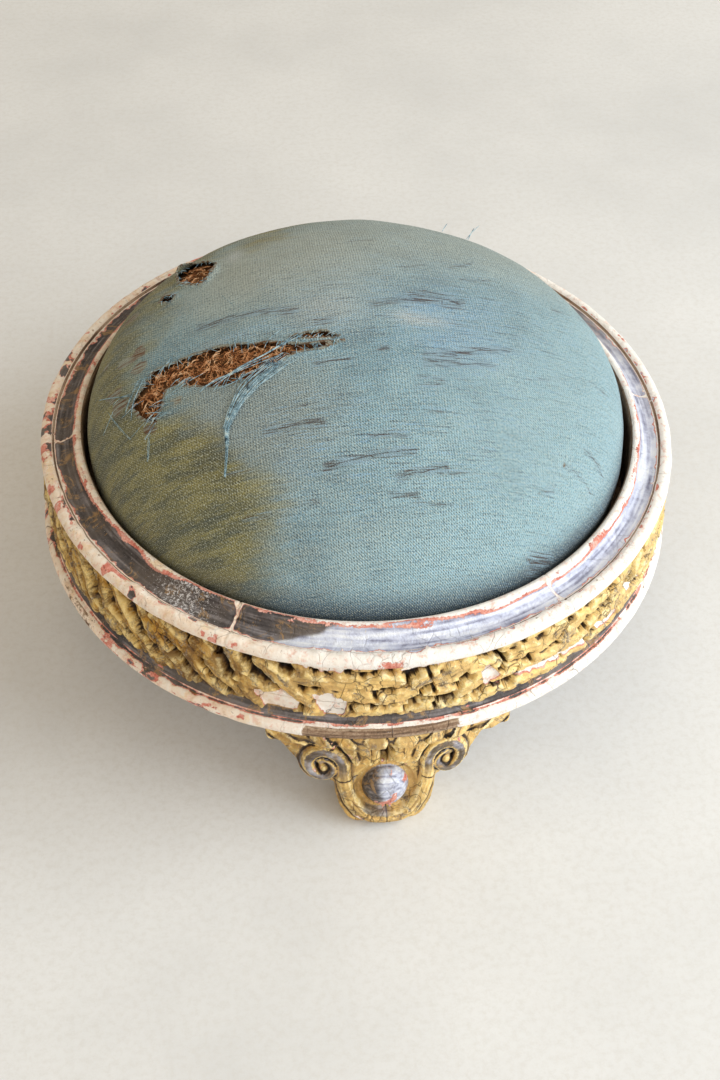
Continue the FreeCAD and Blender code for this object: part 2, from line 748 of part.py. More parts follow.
def cover_tacks():
    up = FreeCAD.Vector(0, 0, 1)
    radius, level = value("flap_inner + cover_tack_inset"), value("seat_base")
    count = int(value("cover_tack_count"))
    tacks = []
    for index in range(count):
        around = 2 * math.pi * (index + 0.5) / count
        place = FreeCAD.Vector(radius * math.cos(around), radius * math.sin(around), level)
        tacks.append(tack(place, up))
    return tack_group("cover_tacks", tacks)


webbing_tacks()
cover_tacks()


# Hessian, stuffing and cover are rounds of many flats. Stuffing and cover share the crown: a tight
# round at the side, a flat one above.
def flat_round(name, radius, height, thickness):
    """A prism whose flats touch the given radius."""
    prism = doc.addObject("Part::Prism", name)
    prism.Polygon = int(value("cushion_sides"))
    bind(prism, "Circumradius", f"({radius}) / cos(180 deg / cushion_sides)")
    bind(prism, "Height", thickness)
    bind(prism, "Placement.Base.z", height)
    return prism


def crown(inset):
    """Radius and height of each ring of flats, from the widest point up to the crown's middle."""
    rise = "(cushion_height - cushion_swell_height)"
    side_centre = "(cushion_radius - crown_side_radius)"
    top_radius = (
        f"(({side_centre}^2 + {rise}^2 - crown_side_radius^2) / (2 * ({rise} - crown_side_radius)))"
    )
    join = f"asin({side_centre} / ({top_radius} - crown_side_radius))"
    rings = []
    count = int(value("crown_ring_count"))
    for index in range(count):
        turn = f"((90 deg - {join}) * {index} / crown_ring_count)"
        radius = f"{side_centre} + (crown_side_radius - {inset}) * cos{turn}"
        rings.append((radius, f"swell_height + (crown_side_radius - {inset}) * sin{turn}"))
    for index in range(count):
        turn = f"({join} * ({count} - {index}) / crown_ring_count)"
        radius = f"({top_radius} - {inset}) * sin{turn}"
        rings.append((radius, f"crown_height - {top_radius} + ({top_radius} - {inset}) * cos{turn}"))
    return rings


def flat_face(corners):
    return Part.Face(Part.makePolygon(corners + corners[:1]))


def crowned(name, feet, inset):
    """A solid of flats through rings: those it stands on, then the crown, closed by a point."""
    sides = int(value("cushion_sides"))
    turns = [2 * math.pi * index / sides for index in range(sides)]
    loops = []
    for radius, height in feet + crown(inset):
        reach, level = value(radius) / math.cos(math.pi / sides), value(height)
        loops.append([FreeCAD.Vector(reach * math.cos(t), reach * math.sin(t), level) for t in turns])
    peak = FreeCAD.Vector(0, 0, value(f"crown_height - {inset}"))
    faces = [flat_face(loops[0][::-1])]
    for low, high in zip(loops, loops[1:]):
        faces += [flat_face([low[i - 1], low[i], high[i], high[i - 1]]) for i in range(sides)]
    faces += [flat_face([loops[-1][i - 1], loops[-1][i], peak]) for i in range(sides)]
    feature = doc.addObject("Part::Feature", name)
    feature.Shape = Part.makeSolid(Part.makeShell(faces))
    return feature


def less(name, whole, tool):
    cut = doc.addObject("Part::Cut", name)
    cut.Base = whole
    cut.Tool = tool
    return cut


hessian = flat_round("hessian", "hessian_radius", "hessian_base", "hessian_thickness")
hessian.Label = "hessian"

pad = crowned("stuffing_pad", [("seat_ring_radius", "stuffing_base")], "(cloth_thickness + cloth_gap)")
hollow_height = "hessian_top + cloth_gap - stuffing_base"
hollow = flat_round("stuffing_hollow", "web_reach + cloth_gap", "stuffing_base", hollow_height)
less("fibre_stuffing", pad, hollow).Label = "fibre_stuffing"

outside = crowned("cover_outside", [("cloth_side", "seat_base")], "0")
inner_side = "(cloth_side - cloth_thickness)"
inside = crowned("cover_inside", [(inner_side, "seat_base + cloth_thickness")], "cloth_thickness")
mouth = flat_round("cover_mouth", "flap_inner", "seat_base - cloth_thickness", "3 * cloth_thickness")
less("seat_cover", less("cover_shell", outside, inside), mouth).Label = "seat_cover"

doc.recompute()

GROUPS = ("foot_dowels", "webbing_tacks", "cover_tacks")
SOFT = ("hessian", "fibre_stuffing", "seat_cover")
sub_parts = [thing for thing in doc.Objects if thing.TypeId == "PartDesign::Body"]
sub_parts += [doc.getObject(name) for name in SOFT + GROUPS]

for thing in doc.Objects:
    if "Invalid" in thing.State or "Error" in thing.State:
        raise RuntimeError(f"{thing.Label} failed: {thing.getStatusString()}")
for thing in sub_parts:
    if thing.Shape.isNull() or not thing.Shape.isValid():
        raise RuntimeError(f"{thing.Label} has no valid shape")
    if thing.Label not in GROUPS and len(thing.Shape.Solids) != 1:
        raise RuntimeError(f"{thing.Label} is {len(thing.Shape.Solids)} solids")

os.makedirs("parts", exist_ok=True)
for thing in sub_parts:
    thing.Shape.exportStep(f"parts/{thing.Label}.step")
    print(thing.Label, len(thing.Shape.Solids), round(thing.Shape.Volume))
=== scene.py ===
import math

import bpy
import bmesh
import numpy as np
from mathutils import Matrix, Vector


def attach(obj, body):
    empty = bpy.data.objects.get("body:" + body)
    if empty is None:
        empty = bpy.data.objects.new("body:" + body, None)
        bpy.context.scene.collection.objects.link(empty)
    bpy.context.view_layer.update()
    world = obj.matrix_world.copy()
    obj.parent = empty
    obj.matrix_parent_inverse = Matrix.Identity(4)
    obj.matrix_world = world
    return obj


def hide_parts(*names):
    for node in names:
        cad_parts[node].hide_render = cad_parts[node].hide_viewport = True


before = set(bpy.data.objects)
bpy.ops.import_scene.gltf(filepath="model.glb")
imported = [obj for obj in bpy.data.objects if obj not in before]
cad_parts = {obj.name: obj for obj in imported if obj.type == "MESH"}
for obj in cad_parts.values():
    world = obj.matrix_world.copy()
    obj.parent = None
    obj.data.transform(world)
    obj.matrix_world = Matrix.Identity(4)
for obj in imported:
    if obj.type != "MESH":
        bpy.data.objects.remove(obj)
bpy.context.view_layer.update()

# Upper course of the ring: six beech felloes, turned with an inner bead, a cove and an outer
# bead, and carved with leaves below. Coated with gesso and red bole, then silvered on the
# mouldings and gilded on the leaves. The gesso shows wherever the rim has been knocked.
MM = 0.001
TURN = math.tau
CAMERA_TURN = 7.75  # degrees from the front foot round to where the viewer stands
FELLOES = 6
BAND_RADIUS = 197.0


def lumps(x, y, z, size, seed=0):
    """Smooth lumps between -1 and 1, about size across, the same on every run."""
    at = np.stack(np.broadcast_arrays(x, y, z), -1) / size + seed * 17.31
    cell = np.floor(at).astype(np.int64)
    share = at - cell
    share = share * share * (3 - 2 * share)
    total = 0
    for corner in range(8):
        step = np.array([(corner >> axis) & 1 for axis in range(3)])
        key = cell + step
        mixed = (key[..., 0] * 73856093) ^ (key[..., 1] * 19349663) ^ (key[..., 2] * 83492791)
        mixed = (mixed ^ (mixed >> 13)) * 1274126177
        chance = ((mixed ^ (mixed >> 16)) & 0xFFFF) / 32767.5 - 1
        total = total + chance * np.prod(np.where(step, share, 1 - share), -1)
    return total


def rough(x, y, z, size, seed=0, layers=3):
    """Lumps on lumps, each layer half the size and half the height of the one before."""
    return sum(lumps(x, y, z, size / 2**n, seed + n) / 2**n for n in range(layers)) / 1.6


def ease(value, low, high):
    """A smooth step: 0 up to low, 1 from high on."""
    share = np.clip((value - low) / (high - low), 0, 1)
    return share * share * (3 - 2 * share)


def inside_depth(x, y, corners):
    """How far inside a closed outline each point lies; less than 0 outside."""
    corners = np.array(corners, float)
    nearest = np.full(np.shape(x), 1e9)
    inside = np.zeros(np.shape(x), bool)
    for (ax, ay), (bx, by) in zip(corners, np.roll(corners, -1, 0)):
        dx, dy = bx - ax, by - ay
        along = np.clip(((x - ax) * dx + (y - ay) * dy) / (dx * dx + dy * dy), 0, 1)
        nearest = np.minimum(nearest, np.hypot(x - ax - dx * along, y - ay - dy * along))
        if ay != by:
            crosses = (ay > y) != (by > y)
            inside ^= crosses & (x < ax + (y - ay) * dx / (by - ay))
    return np.where(inside, nearest, -nearest)


def line_distance(x, y, corners):
    """Distance to an open line, and how far along it the nearest point is."""
    best, place, run = np.full(np.shape(x), 1e9), np.zeros(np.shape(x)), 0.0
    for (ax, ay), (bx, by) in zip(corners, corners[1:]):
        dx, dy = bx - ax, by - ay
        length = math.hypot(dx, dy)
        along = np.clip(((x - ax) * dx + (y - ay) * dy) / (length * length), 0, 1)
        away = np.hypot(x - ax - dx * along, y - ay - dy * along)
        place = np.where(away < best, run + along * length, place)
        best = np.minimum(best, away)
        run += length
    return best, place


def alone():
    """Leave edit mode and deselect everything."""
    if bpy.context.object and bpy.context.object.mode != "OBJECT":
        bpy.ops.object.mode_set(mode="OBJECT")
    bpy.ops.object.select_all(action="DESELECT")


def begin(kind, name, **sizes):
    """A primitive of its own, named, with nothing else selected."""
    alone()
    getattr(bpy.ops.mesh, f"primitive_{kind}_add")(**sizes)
    piece = bpy.context.object
    piece.name = piece.data.name = name
    return piece


def choose(piece):
    alone()
    piece.select_set(True)
    bpy.context.view_layer.objects.active = piece


def edit_all():
    """Edit mode, with the whole mesh selected."""
    bpy.ops.object.mode_set(mode="EDIT")
    bpy.ops.mesh.select_all(action="SELECT")


def corners_of(piece):
    """Each vertex's place, in metres, one row each."""
    places = np.zeros(len(piece.data.vertices) * 3)
    piece.data.vertices.foreach_get("co", places)
    return places.reshape(-1, 3)


def put_corners(piece, places):
    piece.data.vertices.foreach_set("co", np.asarray(places, float).ravel())
    piece.data.update()


def normals_of(piece):
    normals = np.zeros(len(piece.data.vertices) * 3)
    piece.data.vertex_normals.foreach_get("vector", normals)
    return normals.reshape(-1, 3)


def keep(piece, **masks):
    """Store a value for each vertex, for the finish to read."""
    for name, values in masks.items():
        layer = piece.data.attributes.get(name)
        layer = layer or piece.data.attributes.new(name, "FLOAT", "POINT")
        layer.data.foreach_set("value", np.clip(values, 0, 1).astype(np.float32))


def face_out(piece):
    """Turn all faces outwards."""
    choose(piece)
    edit_all()
    bpy.ops.mesh.normals_make_consistent(inside=False)
    bpy.ops.object.mode_set(mode="OBJECT")


def finish_with(piece, finish, body, smooth=40):
    """Give a piece its material, its smooth shading and its body."""
    piece.data.materials.clear()
    piece.data.materials.append(finish)
    choose(piece)
    bpy.ops.object.shade_smooth_by_angle(angle=math.radians(smooth))
    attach(piece, body)


def another(piece, name, turn):
    """A copy with its own mesh, turned round the ring's axis."""
    copy = piece.copy()
    copy.data = piece.data.copy()
    copy.name = copy.data.name = name
    bpy.context.collection.objects.link(copy)
    copy.data.transform(Matrix.Rotation(turn, 4, "Z"))
    return copy


def turned_blank(name, profile, degrees, steps):
    """A section in radius and height, turned about the ring's axis, its middle to the front."""
    blank = begin("circle", name, vertices=len(profile), radius=MM, fill_type="NGON")
    put_corners(blank, [(radius * MM, 0, level * MM) for radius, level in profile])
    edit_all()
    bpy.ops.mesh.spin(steps=steps, angle=-math.radians(degrees), center=(0, 0, 0), axis=(0, 0, 1))
    bpy.ops.mesh.select_all(action="SELECT")
    bpy.ops.mesh.remove_doubles(threshold=1e-5)
    face_out(blank)
    places = corners_of(blank)
    middle = math.degrees(math.atan2(*places.mean(0)[[1, 0]]))
    blank.data.transform(Matrix.Rotation(math.radians(-90 - middle), 4, "Z"))
    return blank


SECTION_STEP = 0.8


def arc(centre, radius, first, last):
    """Points round a bead, in degrees from the outward direction."""
    count = max(2, round(abs(math.radians(last - first)) * radius / SECTION_STEP))
    turns = np.radians(np.linspace(first, last, count + 1))
    return [(centre[0] + radius * math.cos(t), centre[1] + radius * math.sin(t)) for t in turns]


def between(first, last, bow=0.0, step=SECTION_STEP):
    """Points from first up to, but not at, last, bowing to the right of the way."""
    dx, dy = last[0] - first[0], last[1] - first[1]
    length = math.hypot(dx, dy)
    count = max(1, round(length / step))
    points = []
    for s in (n / count for n in range(count)):
        out, up = dy / length * bow * 4 * s * (1 - s), dx / length * bow * 4 * s * (1 - s)
        points.append((first[0] + dx * s + out, first[1] + dy * s - up))
    return points


WELL, LEDGE, GLUE_LINE, RIM_TOP = 173.5, 155.5, 121.0, 167.0
JOINT_GAP = 0.1
INNER_BEAD = 3.0
OUTER_BEAD_AT, OUTER_BEAD_LEVEL, OUTER_BEAD = 195.5, 157.5, 4.5
BAND_HEAD, BAND_FACE = (192.5, 152.6), 197.5
COVE_BOW, BAND_BOW = 2.4, -1.6
UPPER_BASE = GLUE_LINE + JOINT_GAP
inner_bead = arc((WELL + INNER_BEAD, RIM_TOP - INNER_BEAD), INNER_BEAD, 180, 0)
outer_bead = arc((OUTER_BEAD_AT, OUTER_BEAD_LEVEL), OUTER_BEAD, 150, -90)
upper_section = (
    between((WELL, UPPER_BASE), inner_bead[0], step=9)
    + inner_bead
    + between(inner_bead[-1], outer_bead[0], bow=COVE_BOW)[1:]
    + outer_bead
    + between(outer_bead[-1], BAND_HEAD)[1:]
    + between(BAND_HEAD, (BAND_FACE, UPPER_BASE), bow=BAND_BOW)
    + between((BAND_FACE, UPPER_BASE), (WELL, UPPER_BASE), step=6)
)

# Where the white gesso flats and the drilled slots lie: degrees round from the viewer's side, and
# height. A few more of each are strewn over the sides that the viewer doesn't see.
GESSO_FLATS = [
    [(-16.2, 125.6), (-14.1, 125.6), (-11, 126.6), (-8, 122), (-7.7, 113.6), (-9.4, 108.2), (-13.2, 106.8)],
    [(-5.8, 130.2), (-2.7, 132.8), (0.2, 126.2), (0.1, 112), (-2.6, 107.2), (-4.6, 116.8)],
    [(22.5, 138.2), (24.1, 140.4), (26.5, 127.8), (23.2, 124)],
    [(24, 126.2), (36, 124.2), (45, 120.6), (46.2, 116), (39, 117), (33, 119.5), (24, 121)],
    [(46.5, 127), (53.5, 124.8), (54.8, 111.2), (48.4, 115.8)],
    [(56, 133), (61.5, 131), (62, 120), (57, 124)],
    [(-9.5, 149.6), (-4, 152.4), (1, 151.2), (2.5, 148.6), (-4, 145.4)],
    [(8.5, 146.5), (12, 152), (17, 152.4), (20, 151.4), (13, 147)],
    [(-72, 133), (-68, 134), (-66, 123), (-70, 119)],
    [(108, 138), (112, 139), (114, 126), (110, 123)],
    [(150, 130), (158, 127), (160, 116), (152, 117)],
    [(-121, 136), (-116, 133), (-114, 122), (-119, 121)],
]
SLOTS = [
    (14.4, 131.4), (14.7, 117.8), (31.8, 133.2), (38.9, 110), (44.1, 131.8), (21.1, 110.2), (30.3, 111.4),
    (10.9, 111.4), (4.7, 131), (13.7, 143), (1, 117.8), (-20, 112.8), (-33.6, 130.2), (-27.5, 145),
    (26.8, 140),
]
SLOT_DEPTH, SLOT_HALF_WIDTH, SLOT_HALF_LENGTH = 4.5, 1.5, 4.4
CARVING_LOW, CARVING_HIGH, CARVING_CELL = 104.0, 156.0, 0.5
ROUND_BAND = TURN * BAND_RADIUS
# Each row of leaves: shift along, height, half length, half width and rise.
LONG_LEAVES = (
    (0.0, 139.5, 17.0, 6.4, 4.8), (0.5, 127.0, 17.0, 6.0, 4.4), (0.2, 113.8, 14.0, 5.6, 4.4),
    (0.6, 148.0, 10.5, 4.4, 3.2), (0.75, 108.2, 9.0, 3.4, 2.8), (0.4, 134.0, 9.0, 2.4, 5.2),
    (0.9, 121.0, 9.0, 2.2, 4.8),
)
BROAD_LEAVES = (
    (0.0, 140.5, 12.5, 6.6, 5.2), (0.5, 127.8, 13.5, 6.4, 5.0), (0.15, 114.0, 12.5, 6.4, 5.2),
    (0.62, 149.0, 9.0, 3.8, 3.6), (0.75, 108.0, 7.0, 3.0, 3.0), (0.7, 134.4, 6.5, 2.4, 4.8),
    (0.35, 121.0, 6.0, 2.2, 4.6),
)
LEAF_PITCHES = 60
LONG_SLANT, BROAD_SLANT, BROAD_FROM = -0.72, 0.16, 170
GROUND_DEPTH, LEAF_SINK, UNCARVED = 5.4, 2.6, -9.0


def leaf_relief(run, level, place, long, wide, lean, rise, phase):
    """A carved leaf: lobed edge, steep sides, a tilted top, a sunk midrib and slanting cuts."""
    c, s = math.cos(lean), math.sin(lean)
    along = ((run - place[0]) * c + (level - place[1]) * s) / long
    across = -(run - place[0]) * s + (level - place[1]) * c
    edge = wide * np.clip(1 - along * along, 0, 1) ** 0.42 * (1 + 0.16 * np.cos(along * 8.5 + phase))
    share = np.abs(across) / np.maximum(edge, 0.01)
    top = rise * np.clip(1 - share**5, 0, 1) ** 0.55
    top = top + (1.3 + 0.9 * math.sin(2 * phase)) * across / wide + 1.3 * math.cos(phase) * along
    veins = 0.5 * np.cos(across * TURN / 3.4 + along * 2.2 + phase) * np.clip(1.6 - 1.6 * share, 0, 1)
    cuts = ((along * long * 0.7 - np.abs(across) * 0.9) / 6.2 + phase) % 1 - 0.5
    worked = 0.55 * lumps(run, level, 3 * phase, 3.6, 12)
    return np.where(share < 1, top + veins + 0.5 * cuts * np.clip(share * 2, 0, 1) + worked, UNCARVED)


def carved_band():
    """The carving laid out flat, as rows up the band: height above the band's own surface."""
    columns = round(ROUND_BAND / CARVING_CELL)
    run = (np.arange(columns) / columns - 0.5) * ROUND_BAND
    level = np.arange(CARVING_LOW, CARVING_HIGH, CARVING_CELL)[:, None]
    draw = np.random.default_rng(11)
    top = -GROUND_DEPTH + 0.8 * lumps(run, level, 0, 5, 3)
    pitch = ROUND_BAND / LEAF_PITCHES
    for number in range(LEAF_PITCHES):
        broad = number * 360 / LEAF_PITCHES > BROAD_FROM
        rows, slant = (BROAD_LEAVES, BROAD_SLANT) if broad else (LONG_LEAVES, LONG_SLANT)
        for shift, height, long, wide, rise in rows:
            lean, slide, drop, size, phase = draw.uniform(-1, 1, 5)
            middle = (number + shift + 0.14 * slide) * pitch - ROUND_BAND / 2
            away = (run - middle + ROUND_BAND / 2) % ROUND_BAND - ROUND_BAND / 2
            near = np.abs(away) < long * 1.1
            place = (0.0, height + 1.8 * drop)
            size = 0.95 + 0.2 * size
            tilt = slant + 0.42 * lean
            leaf = leaf_relief(away[near], level, place, long * size, wide * size, tilt, rise, 3 * phase)
            top[:, near] = np.maximum(top[:, near], leaf - LEAF_SINK)
    return top


def softened(table, cells):
    """The same table with each place averaged over the places round it."""
    for axis in (0, 1):
        table = sum(np.roll(table, shift, axis) for shift in range(-cells, cells + 1)) / (2 * cells + 1)
    return table


def read_off(table, turn, level):
    """The laid-out value at each place on the ring."""
    rows, columns = table.shape
    along = (turn / 360 + 0.5) * columns
    up = np.clip((level - CARVING_LOW) / CARVING_CELL, 0, rows - 1.001)
    column, row = np.floor(along).astype(int), np.floor(up).astype(int)
    s, t = along - column, up - row
    left, right = column % columns, (column + 1) % columns
    low = table[row, left] * (1 - s) + table[row, right] * s
    high = table[row + 1, left] * (1 - s) + table[row + 1, right] * s
    return low * (1 - t) + high * t


carving = carved_band()
sunk = softened(carving, 8) - carving


def ring_marks(turn, level):
    """How deep in a gesso flat or a drilled slot each place on the band lies."""
    run = np.radians(turn) * BAND_RADIUS
    wander = 1.3 * rough(run, level, 0, 6, 5)
    flats = np.full(run.shape, -99.0)
    for corners in GESSO_FLATS:
        spread = [(math.radians(a) * BAND_RADIUS, height) for a, height in corners]
        near = np.abs(run - spread[0][0]) < 90
        flats[near] = np.maximum(flats[near], inside_depth(run[near], level[near], spread) + wander[near])
    slots = np.zeros(run.shape)
    draw = np.random.default_rng(5)
    unseen = [*range(-176, -42, 7), *range(62, 178, 7)]
    places = SLOTS + [(a + draw.uniform(-2, 2), draw.choice([112.0, 118, 131, 143])) for a in unseen]
    for a, height in places:
        across = (run - math.radians(a) * BAND_RADIUS + 0.25 * (level - height)) / SLOT_HALF_WIDTH
        along = (level - height) / SLOT_HALF_LENGTH
        slots = np.maximum(slots, 1 - ease(np.hypot(across, along), 0.6, 1.1))
    return flats, slots


def window_of(value, low, high, edge=1.0):
    """1 between low and high, easing to 0 over each edge."""
    return ease(value, low - edge, low + edge) * (1 - ease(value, high - edge, high + edge))


# What is lost of the leaf on the mouldings, in millimetres across its broken edge: under 0 the
# leaf is whole, up to 1 the bole shows, above that the gesso, and from 3.6 the bare wood.
RIM_LOSS = (
    (173.5, 175.0, 177.0, 179.0, 180.8, 183.0, 187.0, 189.0, 190.8, 192.4, 194.6, 206.0),
    (2.2, 1.5, 0.8, 0.25, -1.2, -3.4, -3.2, -1.2, 0.1, 0.9, 2.2, 2.2),
)
THORNS = (-5.6, -3.9, -0.9, 0.9, 5.4, 13.4, 27.0, 36.2, 39.2, -38.4, -60, 75, 101, 118, -101, 150)
GESSO_BLOBS = (-4.8, -0.2, 13.2, 35.2, 38.2, -39.2, -37.8, -56, -66, 74, 120, 160, -110, -140)
RIM_JOINTS = (-20.3, 39.7, 99.7, 159.7, -140.3, -80.3)


def at_run(run, degrees):
    """Distance along the band from a place given in degrees."""
    return run - math.radians(degrees) * BAND_RADIUS


def gilded_ring(piece):
    """Carve and wear one felloe, and lay out its painted light and shade, from where each of its points is
    on the ring.
    """
    places = corners_of(piece) / MM
    x, y, z = places.T
    radius = np.hypot(x, y)
    turn = np.degrees(np.arctan2(x, -y)) + CAMERA_TURN
    turn = (turn + 180) % 360 - 180
    run = np.radians(turn) * BAND_RADIUS
    normal = normals_of(piece)
    outward = (normal[:, 0] * x + normal[:, 1] * y) / radius
    # Towards the lamp, from the front round to the back right: this mask pales the colours there, which is
    # painted light, and also wears the leaf and bead further through.
    pale = ease(turn, -30, 10) * (1 - ease(turn, 130, 170))

    # The band: leaves, flats cut or broken back to gesso, slots, and the open glue line.
    on_band = (radius > 188) & (z < 152.8) & (z > 108.9) & (outward > 0.2)
    fade = window_of(z, 108.5, 151.5, 1.8) * on_band
    flats, slots = ring_marks(turn, z)
    flat = ease(flats, -0.5, 0.8) * fade
    slots = slots * fade * (1 - flat)
    leaf_height = read_off(carving, turn, z) + 1.0
    depth = read_off(sunk, turn, z)
    flat_height = 0.2 + 0.3 * rough(run, z, 0, 9, 8)
    height = (leaf_height * (1 - flat) + flat_height * flat) * fade - SLOT_DEPTH * slots
    open_line = window_of(turn, 22, 64, 5)
    wander = 0.7 * lumps(run, 0, 0, 14, 9) * (1 - open_line)
    joint = np.exp(-(((z - GLUE_LINE - wander) / (0.55 + 0.75 * open_line)) ** 2)) * on_band
    height = height - joint * (0.7 + 2.4 * open_line)
    # Hollows, slots and the open joint are darkened in the finish: painted shade.
    hollow = np.clip(0.16 + depth / 2.6, 0, 1) * (1 - flat) * fade
    hollow = np.maximum(np.maximum(hollow, slots), joint * (0.6 + 0.4 * open_line))
    # Crests that stand above the carving round them: worn there, and lightened in the finish as a painted
    # highlight.
    rub = np.clip(-depth / 1.8 - 0.25, 0, 1) * fade * (1 - flat)

    # The rim: its beads are knocked back to gesso, the cove between them keeps its silver.
    on_rim = (z > 152.7) & (radius > 173.4) & ((z > 163.5) | (radius > 177))
    across = radius + np.clip(OUTER_BEAD_LEVEL - z, 0, 5) * (radius > 191)
    inner = across < 181
    streaks = rough(run / 7, across * 1.3, 0, 4, 21)
    ragged = 2.0 * rough(run, across / 3, 0, 12, 41, 3) + 1.3 * lumps(run, across / 2, 0, 3.2, 44)
    loss = np.interp(across, *RIM_LOSS)
    loss = loss + np.where(across < 186, 1.5 * streaks, ragged * window_of(across, 187, 196, 2))
    loss = loss + 0.5 * pale * inner - 1.1 * inner * window_of(turn, -34, 12, 8)
    blotch = ease(rough(run, across / 2, 0, 15, 47, 4), 0.08, 0.3) * (across > 192.5)
    loss = loss - (1.9 + 0.4 * rough(run, across, 0, 3, 48)) * blotch * (1 - 0.75 * pale)
    blotch = ease(rough(run / 2, across, 0, 5, 49, 4), 0.2, 0.4) * (across > 192)
    loss = loss - 1.9 * blotch * (1 - 0.45 * pale)
    for degrees in THORNS:
        width = 1.5 * np.clip((across - 188.4) / 3.4, 0, 1) + 0.01
        thorn = 1 - ease(np.abs(at_run(run, degrees)) / width, 0.5, 1.1)
        loss = np.maximum(loss, np.where((thorn > 0.05) & (across < 193), 1.5 * thorn, -9))
    red_patch = window_of(turn, -46.8, -41.2, 1.2) * window_of(across, 192.5, 196.5, 1)
    pink_panel = window_of(turn, 4.7, 9.3, 0.6) * window_of(across, 198.5, 203, 0.8)
    loss = loss + (0.45 - loss) * np.maximum(red_patch, pink_panel)
    for number, degrees in enumerate(RIM_JOINTS):
        away = np.abs(at_run(run, degrees) + 1.7 * rough(across, 0, 0, 6, 51 + number))
        spread = 0.55 + 3.0 * ease(across, 189, 194) + 2.0 * (1 - ease(across, 176, 181))
        crack = 1 - ease(away, spread, spread + 0.8)
        loss = loss + (2.2 - loss) * crack * (loss < 2.2)
        height = height - 0.5 * (1 - ease(away, 0.25, 0.8)) * on_rim
    bulge = sum(np.exp(-((at_run(run, degrees) / 3.6) ** 2)) for degrees in GESSO_BLOBS)
    bulge = 0.8 * bulge * window_of(across, 191.5, 197, 1.5)
    bulge = bulge + 0.5 * rough(run, across, 0, 13, 46) * (across > 191)
    height = height + on_rim * (bulge + 0.2 * streaks * inner + 0.16 * ease(loss, 0.6, 1.2))

    # The foot of the ring: a silvered fillet, and a base bead worn to wood where hands lift it.
    on_base = (z < 109.1) & (radius > 190) & (outward > -0.1)
    chips = rough(run, z, radius, 7, 31, 4)
    long_chips = rough(run / 4, z, radius, 4, 34, 3)
    fillet = ease(z, 102.4, 103.4)
    bead_loss = 1.35 + 0.8 * pale + 2.3 * chips + 1.3 * long_chips
    bead_loss = bead_loss - 1.9 * ease(long_chips, 0.25, 0.5) * (1 - pale)
    ragged_turn = turn + 7 * rough(run, z * 1.5, 0, 9, 35, 4)
    bare = window_of(ragged_turn, -12, 24, 2) + 0.6 * window_of(ragged_turn, -62, -48, 3)
    bare = bare + window_of(ragged_turn, 128, 141, 3)
    bead_loss = bead_loss + (4.9 + 1.6 * long_chips - bead_loss) * np.clip(bare, 0, 1)
    white = window_of(turn, -16, -7, 1) + window_of(turn, 19, 64, 2) * 0.8
    bead_loss = bead_loss + (2.3 + 1.0 * long_chips - bead_loss) * np.clip(white, 0, 1)
    fillet_edge = np.exp(-(((z - 103.7) / 0.5) ** 2))
    fillet_loss = -1.9 + 1.6 * chips + 2.6 * fillet_edge + 2.2 * ease(long_chips, 0.5, 0.7)
    base_loss = bead_loss * (1 - fillet) + fillet_loss * fillet
    height = height + on_base * (0.35 * chips - 0.35 * ease(bead_loss, 3.2, 4) * (1 - fillet))

    loss = np.where(on_rim, loss, np.where(on_base, base_loss, -2.6 + 1.6 * rub + 4.9 * flat))
    height = height + 0.25 * rough(run, z, 0, 2.6, 55, 2) * on_band * (1 - flat)
    hidden = (outward < -0.5) | ((np.abs(z - GLUE_LINE) < 0.4) & (np.abs(outward) < 0.3))
    loss = np.where(hidden | ~(on_rim | on_base | on_band), 5, loss)
    gold = on_band | (on_base & (fillet < 0.5) & (chips > 0.1))
    tip = -14.5 + 0.85 * (191 - across) + 1.6 * rough(run, across, 0, 11, 58, 4)
    # Brighter silver on the cove towards the lamp, from a ragged edge round to the back right: partly a
    # brighter leaf, its pale lavender colour painted glare.
    film = ease(turn, tip - 0.4, tip + 1.2) * (1 - ease(turn, 100, 140)) * on_rim
    put_corners(piece, (places + normal * height[:, None]) * MM)
    keep(piece, wear=0.5 + loss / 8, hollow=hollow, rub=rub, gold=gold, film=film, pale=pale)


def paint(red, green, blue):
    """A colour as it looks on screen, as the shader wants it."""
    return tuple((c / 255) ** 2.2 for c in (red, green, blue)) + (1.0,)


class Wire:
    """A node's output. Sums on it add the nodes that work them out."""

    def __init__(self, finish, socket):
        self.finish, self.socket = finish, socket

    def sum(self, operation, first, second):
        return self.finish.node("Math", {"operation": operation}, {0: first, 1: second})

    def __add__(self, other):
        return self.sum("ADD", self, other)

    __radd__ = __add__

    def __sub__(self, other):
        return self.sum("SUBTRACT", self, other)

    def __rsub__(self, other):
        return self.sum("SUBTRACT", other, self)

    def __mul__(self, other):
        return self.sum("MULTIPLY", self, other)

    __rmul__ = __mul__


